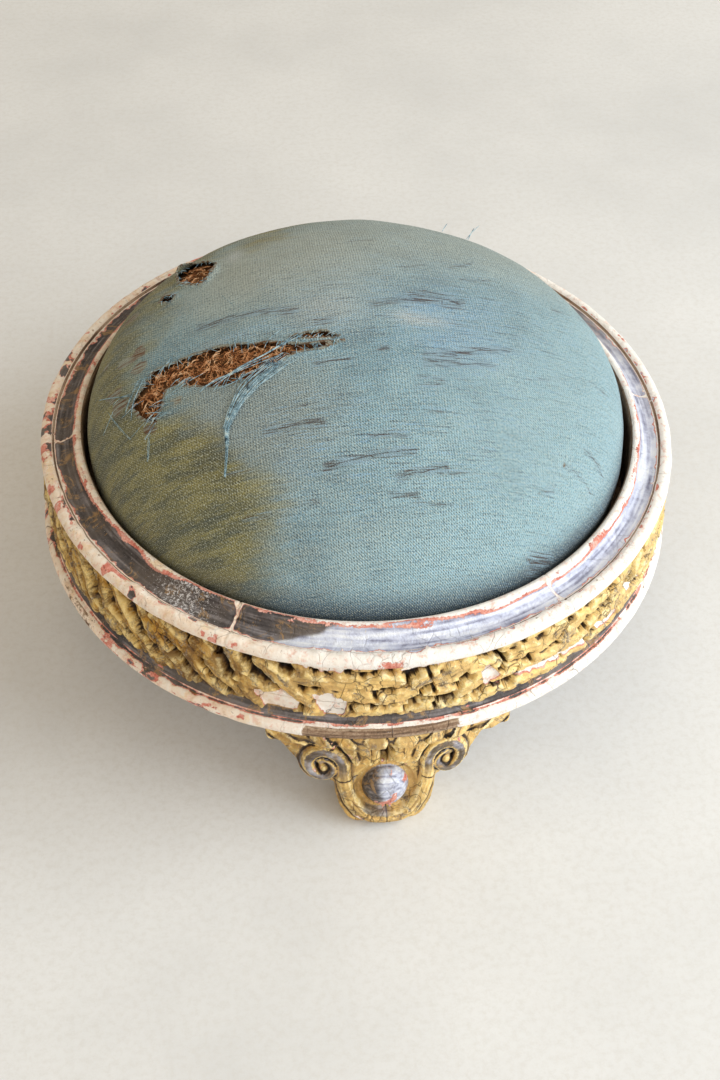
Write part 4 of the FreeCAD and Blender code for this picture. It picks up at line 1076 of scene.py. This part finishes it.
remesh(pad, 5.0, 1)
plump(pad, PAD_SWELL)
modified(pad, "SUBSURF", levels=1, render_levels=1)
places = corners_of(pad) / MM
clumps = 1.1 * rough(*places.T, 8, 91, 3) * ease(places[:, 2], 150, 165)
put_corners(pad, (places + normals_of(pad) * clumps[:, None]) * MM)
fibre = Finish("stuffing")
tangle = fibre.noise(0.005, 8, 0.8, stretch=(1, 3, 1), warp=2.5)
clump = fibre.noise(0.014, 4, 0.6)
fibre_stops = (
    (0.3, paint(40, 26, 16)), (0.45, paint(116, 78, 46)),
    (0.56, paint(178, 128, 82)), (0.7, paint(214, 178, 138)),
)
fibre_colour = fibre.ramp(tangle, *fibre_stops)
fibre_colour = fibre.mix(fibre.step(clump, 0.42, 0.62, 0, 0.75), fibre_colour, paint(138, 84, 40))
fibre.give(Base_Color=fibre_colour, Roughness=0.95, Normal=fibre.bump(tangle, 1.0, 0.003))
finish_with(pad, fibre.material, "seat", smooth=80)
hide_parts("fibre_stuffing")

# Cover: one round of blue twill strained over the pad and tacked under the ring. It has faded to
# grey and green, split along its threads, and torn open at the viewer's left.
SIDE_DROP, FLAP_LEVEL, SIDE_TAPER, FLAP_WIDTH = 36.0, 37.2, 2.2, 26.0
CLOTH_RUN = TOP_RUN + SIDE_RUN + SIDE_DROP + FLAP_WIDTH
TEAR = [
    (-139, -34), (-130, -19), (-124, -15), (-107, -14), (-86, -13), (-61, -19), (-36, -26), (-24, -27),
    (-13, -26), (-26, -30), (-43, -32), (-58, -39), (-68, -42), (-85, -43), (-94, -40), (-104, -36),
    (-110, -30), (-118, -31), (-121, -41), (-125, -53), (-129, -50), (-134, -44),
]
LENS = [(-43, -19), (-35, -16.5), (-25, -16.5), (-16, -21), (-23, -22.5), (-33, -21.5)]
HOLE = [
    (-107, 70), (-108, 82), (-105, 91), (-99, 94), (-91, 91),
    (-84, 86), (-86, 74), (-90, 65), (-95, 59), (-102, 65),
]
SPOT = [(-120, 54), (-116, 59), (-111, 56), (-114, 50)]
# Each split: how open it is, and its line on the cushion seen from above, in millimetres.
SPLITS = [
    (1.0, [(-96, 12), (-79, 10), (-64, 10), (-40, 5)]), (0.7, [(-31, -41), (-21, -40), (-11, -40)]),
    (0.9, [(-62, -82), (-47, -80.5), (-31, -82)]), (0.5, [(-50, -69), (-40, -69)]),
    (0.9, [(-27, -7), (-19, -7)]), (1.0, [(7, 4), (16, 8), (35, 9), (62, 13)]),
    (1.0, [(31, 14), (43, 17), (55, 17)]), (0.8, [(50, 7), (62, 9)]),
    (0.9, [(34, -37), (53, -36)]), (0.8, [(54, -35), (69, -30), (85, -27)]), (1.0, [(35, -44), (52, -42)]),
    (0.8, [(52, -44), (73, -41)]), (0.6, [(28, -55), (43, -55)]), (0.6, [(26, -60), (40, -60)]),
    (0.5, [(28, 46), (50, 54)]), (0.6, [(61, 52), (80, 66)]), (0.6, [(68, 39), (86, 44)]),
    (0.7, [(8, -33), (12, -33)]), (0.5, [(125, 27), (137, 28), (151, 33)]), (0.5, [(27, -79), (38, -78)]),
    (0.5, [(95, -48), (112, -42)]), (0.8, [(-30, -109), (-7, -105), (20, -103)]),
    (0.8, [(9, -118), (22, -116), (36, -111)]), (0.6, [(4, -127), (20, -127)]),
    (0.7, [(-4, -93), (16, -93)]), (0.5, [(3, -133), (38, -133)]), (0.6, [(30, -116), (54, -115)]),
    (0.5, [(90, -119), (101, -115)]), (0.5, [(-78, -127), (-64, -129)]), (0.5, [(-86, -101), (-72, -103)]),
    (0.5, [(-46, -127), (-38, -126)]), (0.6, [(109, -100), (120, -101), (126, -104)]),
    (0.6, [(82, -146), (99, -138)]), (0.6, [(124, -85), (131, -87), (136, -91)]),
    (0.5, [(139, -33), (150, -38)]), (0.4, [(-20, 80), (24, 88)]),
]
# Where the cloth is worn through to its backing: place and size.
WORN = [
    (-135, 11, 5), (-133, -4, 6), (-142, 6, 6), (-150, -16, 5), (-145, -29, 6), (-139, 56, 4), (-156, 17, 3),
    (-129, -57, 4), (-119, 64, 3), (-112, -44, 3), (109, -99, 1.6), (-70, -47, 4),
]

cover, x, y = disc_grid("blue_cover", 176)
share = np.hypot(x, y)
flat = np.stack([x, y], -1) * (CLOTH_RUN * MM)
run = share * CLOTH_RUN
reach, height, down, cx, cy = domed(x, y, run, 0.9)
reach = reach - np.clip(down, 0, SIDE_DROP) / SIDE_DROP * SIDE_TAPER
height = height - np.clip(down, 0, FLAP_LEVEL)
reach = reach - np.clip(down - FLAP_LEVEL, 0, None)
places = np.stack([cx * reach, cy * reach, np.maximum(height, SEAT_BASE + 0.8)], -1)
put_corners(cover, places * MM)
lay_uv(cover, flat)
face_out(cover)


def torn_depth(x, y, coarse=1.3):
    """How far inside a tear or hole each place is, with a ragged edge."""
    ragged = coarse * rough(x * 1.4, y * 2.2, 0, 5, 101, 4)
    return np.max([inside_depth(x, y, edge) for edge in (TEAR, LENS, HOLE, SPOT)], 0) + ragged


def face_middles(shape):
    """Each face's middle, in millimetres."""
    return np.array([face.calc_center_median() for face in shape.faces]) / MM


choose(cover)
for _ in range(2):
    bpy.ops.object.mode_set(mode="EDIT")
    shape = bmesh.from_edit_mesh(cover.data)
    middles = face_middles(shape)
    near = (middles[:, 2] > 170) & (torn_depth(middles[:, 0], middles[:, 1], 0) > -5)
    for face, chosen in zip(shape.faces, near):
        face.select_set(bool(chosen))
    bmesh.update_edit_mesh(cover.data)
    bpy.ops.mesh.subdivide(number_cuts=1)
    bpy.ops.object.mode_set(mode="OBJECT")
bpy.ops.object.mode_set(mode="EDIT")
shape = bmesh.from_edit_mesh(cover.data)
middles = face_middles(shape)
gone = (torn_depth(middles[:, 0], middles[:, 1]) > 0) & (middles[:, 2] > 165)
bmesh.ops.delete(shape, geom=[face for face, lost in zip(shape.faces, gone) if lost], context="FACES")
bmesh.update_edit_mesh(cover.data)
bpy.ops.object.mode_set(mode="OBJECT")


def blob(px, py, size, wide=1.0):
    """A soft spot on the cover, fading from its middle, so many times wider than deep."""
    return np.exp(-(((x - px) / (size * wide)) ** 2 + ((y - py) / size) ** 2))


def blobs(spots):
    """Soft spots added up, each with a strength before its place."""
    return sum(strength * blob(*spot) for strength, *spot in spots)


places = corners_of(cover) / MM
normal = normals_of(cover)
x, y, z = places.T
reach = np.hypot(x, y)
around = np.degrees(np.arctan2(x, -y))
depth = torn_depth(x, y)
top = ease(z, 150, 165)
curl = ease(depth, -5, 0) * top
nearest, across, split = np.full(len(x), 1e9), np.zeros(len(x)), np.zeros(len(x))
for number, (open_by, line) in enumerate(SPLITS):
    wavy = y + 1.1 * lumps(x, 0, 0, 9, 120 + number)
    away, along = line_distance(x, wavy, line)
    side = np.where(wavy > np.interp(x, [p[0] for p in line], [p[1] for p in line]), 1, -1)
    closer = away < nearest
    nearest = np.where(closer, away, nearest)
    across = np.where(closer, away * side, across)
    split = np.where(closer, open_by * (1 - ease(away, 0.4 + 1.6 * open_by, 1.6 + 3.6 * open_by)), split)
soft = lumps(x, y, z, 60, 151) + 0.5 * lumps(x, y, z, 24, 152)
pucker = 0.5 * lumps(x / 2, y * 1.5, 0, 9, 153) * (0.2 + ease(depth, -30, -2))
drag = 0.5 * lumps(around * 1.2, 0, reach / 14, 7, 154) * ease(reach, 118, 150)
drag = drag * window_of(around, 10, 120, 20)
fold = np.exp(-(((z - 176 + 0.06 * (around - 45) ** 2 / 10) / 2.2) ** 2)) * window_of(around, 12, 66, 10)
lip = 3.4 * ease(torn_depth(x, y, 0), -6, 0) * blob(-106, 88, 14)
lip = lip + 1.4 * curl * (y > -0.22 * x - 45) * (x < -20)
lift = soft + (pucker + drag + fold) * top + lip * top
lift = lift + curl * 0.9 * lumps(x, y, 0, 7, 161) - 0.2 * split * top
lift = np.where(z < 150, 0, lift)
put_corners(cover, (places + normal * lift[:, None]) * MM)
worn = np.zeros(len(x))
for wx, wy, size in WORN:
    away = np.hypot(x - wx, y - wy) + 4 * rough(x, y, 0, 6, 171, 4)
    worn = np.maximum(worn, 1 - ease(away, size * 0.5, size * 1.5))
frayed = np.maximum(ease(depth, -2.6, -0.4), worn * 0.9) * top
left = window_of(around, -175, -28, 22)
mottle = 0.22 * rough(x, y, z, 34, 181, 4)
olive = 0.92 * ease(reach + 130 * mottle, 96, 156) * left
olive = olive + 0.35 * window_of(around, -70, -25, 14) * ease(reach, 80, 140)
olive = olive + 0.5 * ease(reach, 125, 165) * window_of(around, 165, 200, 12)
BLUE_SPOTS = (
    (1, 60, -30, 17, 1.7), (0.8, 42, 6, 14, 1.6), (0.5, 76, 4, 16), (0.45, 70, -79, 13),
    (0.5, -78, -6, 5, 5), (0.4, -52, -104, 12, 1.6), (0.35, -66, -124, 10), (0.35, 52, -12, 74, 1.2),
)
STREAKY_SPOTS = ((1, 50, 0, 42, 1.6), (0.8, 4, -100, 30, 2), (0.7, -40, -78, 16, 2), (0.7, -70, -8, 12, 4))
GREY_SPOTS = ((1, -72, -72, 52, 1.2), (0.5, -10, -150, 26, 3), (0.4, -60, 50, 50, 1.2))
BLEACHED_SPOTS = (
    (1, -20, 2, 20, 1.3), (0.8, 40, -11, 3, 4), (0.6, 26, -5, 3, 3), (0.5, -90, -10, 3, 4),
    (1.3, -72, 90, 10, 0.6), (0.8, 34, -9, 5, 3.4), (0.35, -20, 40, 26, 2),
)
blue = blobs(BLUE_SPOTS) * (0.75 + 1.6 * mottle)
streaky = np.clip(0.3 * (x > -60) + blobs(STREAKY_SPOTS), 0, 1)
cyan = ease(x - 0.55 * y, 20, 160) * 0.95
cyan = cyan + blobs(((0.35, 30, -130, 50, 1.6), (0.25, 0, -60, 40, 1.5)))
# Dark navy low on the cover's front, where it turns under: painted shade.
navy = ease(186 - z, 0, 22) * window_of(around, -30, 100, 22)
# Beige towards the back; the extra beige at the back left lightens it there, which is painted light.
beige = 0.45 * ease(y, 55, 120) * left + ease(y, 10, 90) * (1 - left * ease(reach, 90, 140)) * 0.8
beige = beige + 0.6 * blob(-56, 40, 46, 1.5)
grey = blobs(GREY_SPOTS)
keep(cover, apart=np.minimum(nearest, 6) / 6, across=0.5 + across / 12, split=split * top, frayed=frayed)
keep(cover, blue=blue, olive=olive, cyan=cyan, navy=navy, beige=beige, mottle=0.5 + mottle)
keep(cover, streaky=streaky * top, grey=np.clip(grey + mottle, 0, 1) * (grey > 0.02))
keep(cover, bleached=blobs(BLEACHED_SPOTS) * (0.8 + 1.4 * mottle))
modified(cover, "SOLIDIFY", thickness=0.0009, offset=-1)

cloth = Finish("blue_cloth")
spot = cloth.node("TexCoord", output="UV")
sx, sy = (cloth.node("SeparateXYZ", inputs={"Vector": spot}, output=axis) for axis in (0, 1))
wobble = cloth.noise(0.03, 3, 0.5, source="UV")
twill = cloth.node("Math", {"operation": "SINE"}, {0: (sx + sy) * (TURN / 0.0019) + wobble * 14})
rows = cloth.node("Math", {"operation": "SINE"}, {0: sx * (TURN / 0.0016) + wobble * 10})
fleck = cloth.noise(0.0013, 3, 0.8, source="UV")
slub = cloth.noise(0.004, 5, 0.75, stretch=(0.22, 2.4, 1), source="UV")
drift = cloth.noise(0.02, 5, 0.7, stretch=(0.5, 1.8, 1), source="UV")
thread = cloth.noise(0.0022, 5, 0.75, stretch=(0.09, 1.6, 1), source="UV")
soil = cloth.mask("mottle") * 0.5 + cloth.noise(0.03, 6, 0.7) * 0.5
blue_stops = ((0.38, paint(100, 136, 154)), (0.5, paint(132, 172, 190)), (0.62, paint(164, 196, 206)))
base = cloth.ramp(soil, *blue_stops)
greyed = cloth.step(cloth.mask("grey") + (drift - 0.5) * 0.7, 0.1, 0.9, 0, 0.8)
base = cloth.mix(greyed, base, paint(144, 154, 152))
blues = cloth.mix(cloth.step(slub, 0.38, 0.62), paint(104, 152, 194), paint(170, 208, 230))
base = cloth.mix(cloth.step(cloth.mask("blue") + (drift - 0.5) * 1.1, 0.12, 0.85, 0, 0.9), base, blues)
base = cloth.mix(cloth.mask("cyan") * 0.75, base, paint(162, 198, 210))
base = cloth.mix(cloth.mask("beige") * 0.8, base, paint(174, 182, 172))
olives = cloth.mix(cloth.step(drift, 0.36, 0.62), paint(84, 78, 14), paint(144, 134, 62))
base = cloth.mix(cloth.step(cloth.mask("olive") + (drift - 0.5) * 0.7, 0.15, 0.9, 0, 0.88), base, olives)
base = cloth.mix(cloth.mask("bleached") * 0.75, base, paint(194, 206, 210))
# Painted shade low on the front of the cover.
base = cloth.mix(cloth.mask("navy") * 0.85, base, paint(26, 54, 80))
base = cloth.mix(cloth.step(slub, 0.5, 0.7, 0, 0.5), base, paint(66, 88, 104))
streaky = cloth.mask("streaky")
base = cloth.mix(cloth.step(thread, 0.53, 0.6) * streaky * 0.8, base, paint(140, 182, 214))
base = cloth.mix((1 - cloth.step(thread, 0.38, 0.45)) * streaky * 0.8, base, paint(70, 84, 104))
grain = fleck + twill * 0.045 + rows * 0.03
base = cloth.mix(cloth.step(grain, 0.52, 0.64, 0, 0.6), base, paint(200, 208, 196))
base = cloth.mix(cloth.step(grain, 0.36, 0.47, 0.6, 0), base, paint(44, 60, 70))
off = (cloth.mask("across") - 0.5) * 12 + (drift - 0.5) * 3.2 + (slub - 0.5) * 1.4
away = cloth.node("Math", {"operation": "ABSOLUTE"}, {0: off})
hairs = (thread - 0.5) * 6
opened = cloth.step(cloth.mask("split") + (drift - 0.5) * 0.9, 0.2, 0.75)
base = cloth.mix(opened * cloth.step(thread, 0.49, 0.56, 0, 0.85), base, paint(158, 190, 210))
base = cloth.mix(opened * cloth.step(thread, 0.42, 0.48, 0.85, 0), base, paint(84, 66, 62))
core = (1 - cloth.step(away, 0.1, 0.5)) * (1 - cloth.step(cloth.mask("apart"), 0.26, 0.33))
core = core * cloth.step(cloth.mask("split") + (slub - 0.5) * 1.3, 0.42, 0.7)
core = core * cloth.step(fleck, 0.44, 0.52, 0.25, 0.9)
base = cloth.mix(core, base, paint(66, 48, 42))
threadbare = cloth.step(cloth.mask("frayed") + (fleck - 0.5) + (slub - 0.5) * 0.6, 0.42, 0.72)
backing = cloth.mix(cloth.step(slub, 0.42, 0.56), paint(104, 70, 36), paint(150, 158, 148))
base = cloth.mix(threadbare, base, backing)
weave = cloth.bump(twill * 0.5 + rows * 0.3 + slub * 1.5 + fleck * 1.6 + hairs * opened * 1.2, 0.8, 0.0006)
cloth.give(Base_Color=base, Roughness=0.9, Normal=weave, Sheen_Weight=0.12, Sheen_Roughness=0.5)
finish_with(cover, cloth.material, "seat", smooth=80)
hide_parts("seat_cover")

# Loose threads of the torn cloth: a hank that has slipped down out of the tear, long threads that
# still cross it, a fringe round every torn edge, and a few ends that stand up elsewhere.


def lumps_at(place, size, seed):
    """The lumps' height at one place."""
    return lumps(*np.array(place)[:, None], size, seed)[0]


def over_cushion(px, py, lift):
    """A place on the cover, in millimetres, seen from above."""
    out = math.hypot(px, py)
    if out < TOP_RADIUS * math.sin(JOIN):
        level = TOP_CENTRE + math.sqrt(TOP_RADIUS**2 - out**2)
    else:
        level = SWELL_HEIGHT + math.sqrt(max(SIDE_RADIUS**2 - (out - SIDE_CENTRE) ** 2, 0))
    here = np.array([px, py, level])
    soft_here = lumps_at(here, 60, 151) + 0.5 * lumps_at(here, 24, 152)
    lean = min(out / (SIDE_CENTRE + SIDE_RADIUS), 1.0) ** 1.6
    up = np.array([px / max(out, 1) * lean, py / max(out, 1) * lean, math.sqrt(1 - lean * lean * 0.99)])
    return here + up * (lift + soft_here - 0.2)


def strands(name, routes, thickness):
    """Thin round strands along routes of places, as one mesh."""
    lines = bpy.data.curves.new(name, "CURVE")
    lines.dimensions, lines.bevel_depth, lines.bevel_resolution, lines.resolution_u = "3D", MM, 0, 3
    for route, thin in zip(routes, thickness):
        spline = lines.splines.new("NURBS")
        spline.points.add(len(route) - 1)
        for number, (point, place) in enumerate(zip(spline.points, route)):
            point.co = (*(np.array(place) * MM), 1)
            point.radius = thin * (0.6 if number in (0, len(route) - 1) else 1)
        spline.order_u, spline.use_endpoint_u = 3, True
    piece = bpy.data.objects.new(name, lines)
    bpy.context.collection.objects.link(piece)
    choose(piece)
    bpy.ops.object.convert(target="MESH")
    return bpy.context.object


HANK = [(-46, -34), (-58, -41), (-71, -51), (-79, -63), (-85, -75), (-84, -85), (-87, -103)]
HANK_WIDTH = (10, 11, 9, 6, 3.2, 2.2, 1.0)
HANK_THREADS, THREADS_SEED = 20, 23
CROSSING = [
    [(-38, -17), (-48, -23), (-61, -30), (-72, -33), (-83, -39), (-97, -42)],
    [(-36, -19), (-50, -26), (-63, -32), (-76, -36), (-90, -44)],
    [(-45, -36), (-59, -38), (-72, -41), (-79, -46), (-88, -46)],
    [(-57, -32), (-68, -34), (-79, -39), (-90, -39), (-98, -45)],
    [(-50, -33), (-62, -35), (-75, -38), (-86, -41), (-90, -47)],
    [(-59, -24), (-57, -17), (-48, -12)],
    [(-112, -36), (-108, -30), (-102, -32)],
    [(-131, -18), (-136, -29), (-138, -36), (-139, -44)],
    [(-134, -17), (-139, -27), (-142, -37)],
    [(-150, -25), (-145, -22), (-138, -26)],
    [(-159, -11), (-149, -20), (-138, -28)],
    [(-124, -55), (-131, -62)],
    [(-153, -27), (-149, -40), (-140, -56)],
    [(-128, -62), (-130, -76)],
    [(-81, 35), (-75, 22)],
    [(-150, -30), (-157, -38)],
]
draw = np.random.default_rng(THREADS_SEED)
routes, thickness = [], []
for number in range(HANK_THREADS):
    offset = number / (HANK_THREADS - 1) - 0.5
    route = []
    for place, (px, py) in enumerate(HANK[: len(HANK) - int(draw.integers(0, 3))]):
        sway = HANK_WIDTH[place] * (offset + 0.2 * draw.uniform(-1, 1))
        route.append(over_cushion(px + 0.7 * sway, py - 0.7 * sway, 0.5 + 0.9 * draw.random()))
    routes.append(route)
    thickness.append(draw.uniform(0.1, 0.22))
for route in CROSSING:
    for _ in range(2):
        dx, dy = draw.uniform(-1.3, 1.3, 2)
        routes.append(
            [over_cushion(px + dx * draw.random(), py + dy * draw.random(), 0.9) for px, py in route]
        )
        thickness.append(draw.uniform(0.14, 0.24))
for edge in (TEAR, LENS, HOLE, SPOT):
    for (ax, ay), (bx, by) in zip(edge, edge[1:] + edge[:1]):
        length = math.hypot(bx - ax, by - ay)
        for _ in range(max(1, round(length / 1.7))):
            share = draw.random()
            px, py = ax + (bx - ax) * share, ay + (by - ay) * share
            if lumps_at((px, py, 0.0), 5, 201) < -0.15:
                continue
            inward = np.array([-(by - ay), bx - ax]) / length * -1
            way = inward * draw.uniform(0.4, 1) + [draw.uniform(-0.9, 0.9), draw.uniform(-0.4, 0.4)]
            long = draw.uniform(2.5, 8) * (1 if edge is TEAR else 0.5)
            route = []
            for step, lift in ((-1.2, 0.1), (0.0, 0.6), (0.5, 0.4), (1.0, -0.4)):
                fx, fy = px + way[0] * long * step, py + way[1] * long * step
                route.append(over_cushion(fx, fy, lift + 0.5 * draw.random()))
            routes.append(route)
            thickness.append(draw.uniform(0.12, 0.24))
for start, lean, rise in (((84, 112), (9, 5), 7), ((85, 111), (5, 7), 4.5), ((70, 126), (4, 5), 2.5)):
    foot_at = over_cushion(*start, 0)
    routes.append([foot_at + [lean[0] * s, lean[1] * s, rise * s**0.7] for s in (0, 0.35, 0.7, 1)])
    thickness.append(0.3)
threads = strands("loose_threads", routes, thickness)
yarn = Finish("loose_threads")
dye = yarn.noise(0.0035, 4, 0.75, stretch=(1, 1, 0.5))
yarn_stops = (
    (0.38, paint(54, 78, 94)), (0.48, paint(128, 164, 182)),
    (0.58, paint(172, 200, 212)), (0.7, paint(206, 214, 200)),
)
yarn.give(Base_Color=yarn.ramp(dye, *yarn_stops), Roughness=0.85)
finish_with(threads, yarn.material, "seat", smooth=80)

# Fibre that has worked up in the tears: short curled strands of the stuffing, brown to straw,
# lying loose on the pad.
STUFFING_STRANDS, STRAND_STEPS, STRAND_STEP = 420, 6, 1.7
routes, thickness = [], []
while len(routes) < STUFFING_STRANDS:
    px, py = draw.uniform(-140, -12), draw.uniform(-54, -12)
    if len(routes) % 7 == 0:
        px, py = draw.uniform(-108, -84), draw.uniform(60, 94)
    spread = torn_depth(np.array([px]), np.array([py]), 0)[0]
    if spread < 1.2:
        continue
    heading = draw.uniform(0, TURN)
    route = []
    for step in range(STRAND_STEPS):
        route.append(over_cushion(px, py, -2.6 + 2.4 * draw.random() * min(1, spread / 6)))
        heading += draw.uniform(-1.1, 1.1)
        px, py = px + STRAND_STEP * math.cos(heading), py + STRAND_STEP * math.sin(heading)
    routes.append(route)
    thickness.append(draw.uniform(0.16, 0.42))
tow = strands("stuffing_strands", routes, thickness)
straw = Finish("stuffing_strands")
tint = straw.noise(0.0045, 3, 0.7)
straw_stops = (
    (0.34, paint(84, 50, 26)), (0.45, paint(156, 100, 58)),
    (0.56, paint(204, 152, 108)), (0.68, paint(236, 204, 168)),
)
straw.give(Base_Color=straw.ramp(tint, *straw_stops), Roughness=0.9)
finish_with(tow, straw.material, "seat", smooth=80)
math.pi * (CLOTH_RUN * MM) ** 2

# Floor, light and camera: pale trowelled concrete, soft daylight from the right, and a camera
# that looks down at the stool from in front and a little to its left.
floor = begin("plane", "floor", size=8)
ground = Finish("floor")
clouds = ground.noise(0.35, 6, 0.6)
grit = ground.noise(0.005, 6, 0.75)
floor_stops = ((0.3, paint(212, 215, 218)), (0.5, paint(224, 227, 230)), (0.72, paint(233, 236, 239)))
tone = ground.ramp(clouds, *floor_stops)
tone = ground.mix(ground.step(grit, 0.4, 0.7, 0, 0.35), tone, paint(204, 203, 200))
ground.give(Base_Color=tone, Roughness=0.85, Normal=ground.bump(grit, 0.25, 0.0006))
floor.data.materials.append(ground.material)


LIT_PLACE = (0, 0, 0.1)


def window(name, size, place, power, colour):
    """A square of soft light that faces the stool."""
    lamp = bpy.data.lights.new(name, "AREA")
    lamp.shape, lamp.size, lamp.energy, lamp.color = "SQUARE", size, power, colour
    holder = bpy.data.objects.new(name, lamp)
    bpy.context.collection.objects.link(holder)
    holder.location = place
    holder.rotation_euler = (Vector(LIT_PLACE) - Vector(place)).to_track_quat("-Z", "Y").to_euler()


window("daylight", 2.4, (2.3, -0.7, 1.5), 78, (0.91, 0.97, 1.0))
window("fill", 2.0, (0.5, -2.2, 1.3), 16, (1.0, 0.99, 0.97))
world = bpy.data.worlds.new("daylight")
bpy.context.scene.world = world
world.use_nodes = True
sky = world.node_tree.nodes["Background"].inputs
sky["Color"].default_value = (1.0, 0.86, 0.67, 1)
sky["Strength"].default_value = 0.6

lens = bpy.data.cameras.new("camera")
lens.lens, lens.sensor_width = 50.0, 36.0
camera = bpy.data.objects.new("camera", lens)
bpy.context.collection.objects.link(camera)
ELEVATION, ROLL = math.radians(47.23), math.radians(2.14)
LOOKED_AT, VIEW_DISTANCE = (0.0046, -0.1058, 0.159), 0.888
facing = Matrix.Rotation(math.radians(-CAMERA_TURN), 4, "Z") @ Matrix.Translation(LOOKED_AT)
facing = facing @ Matrix.Rotation(math.pi / 2 - ELEVATION, 4, "X") @ Matrix.Rotation(ROLL, 4, "Z")
camera.matrix_world = facing @ Matrix.Translation((0, 0, VIEW_DISTANCE))
bpy.context.scene.camera = camera
bpy.context.scene.view_settings.view_transform = "Standard"
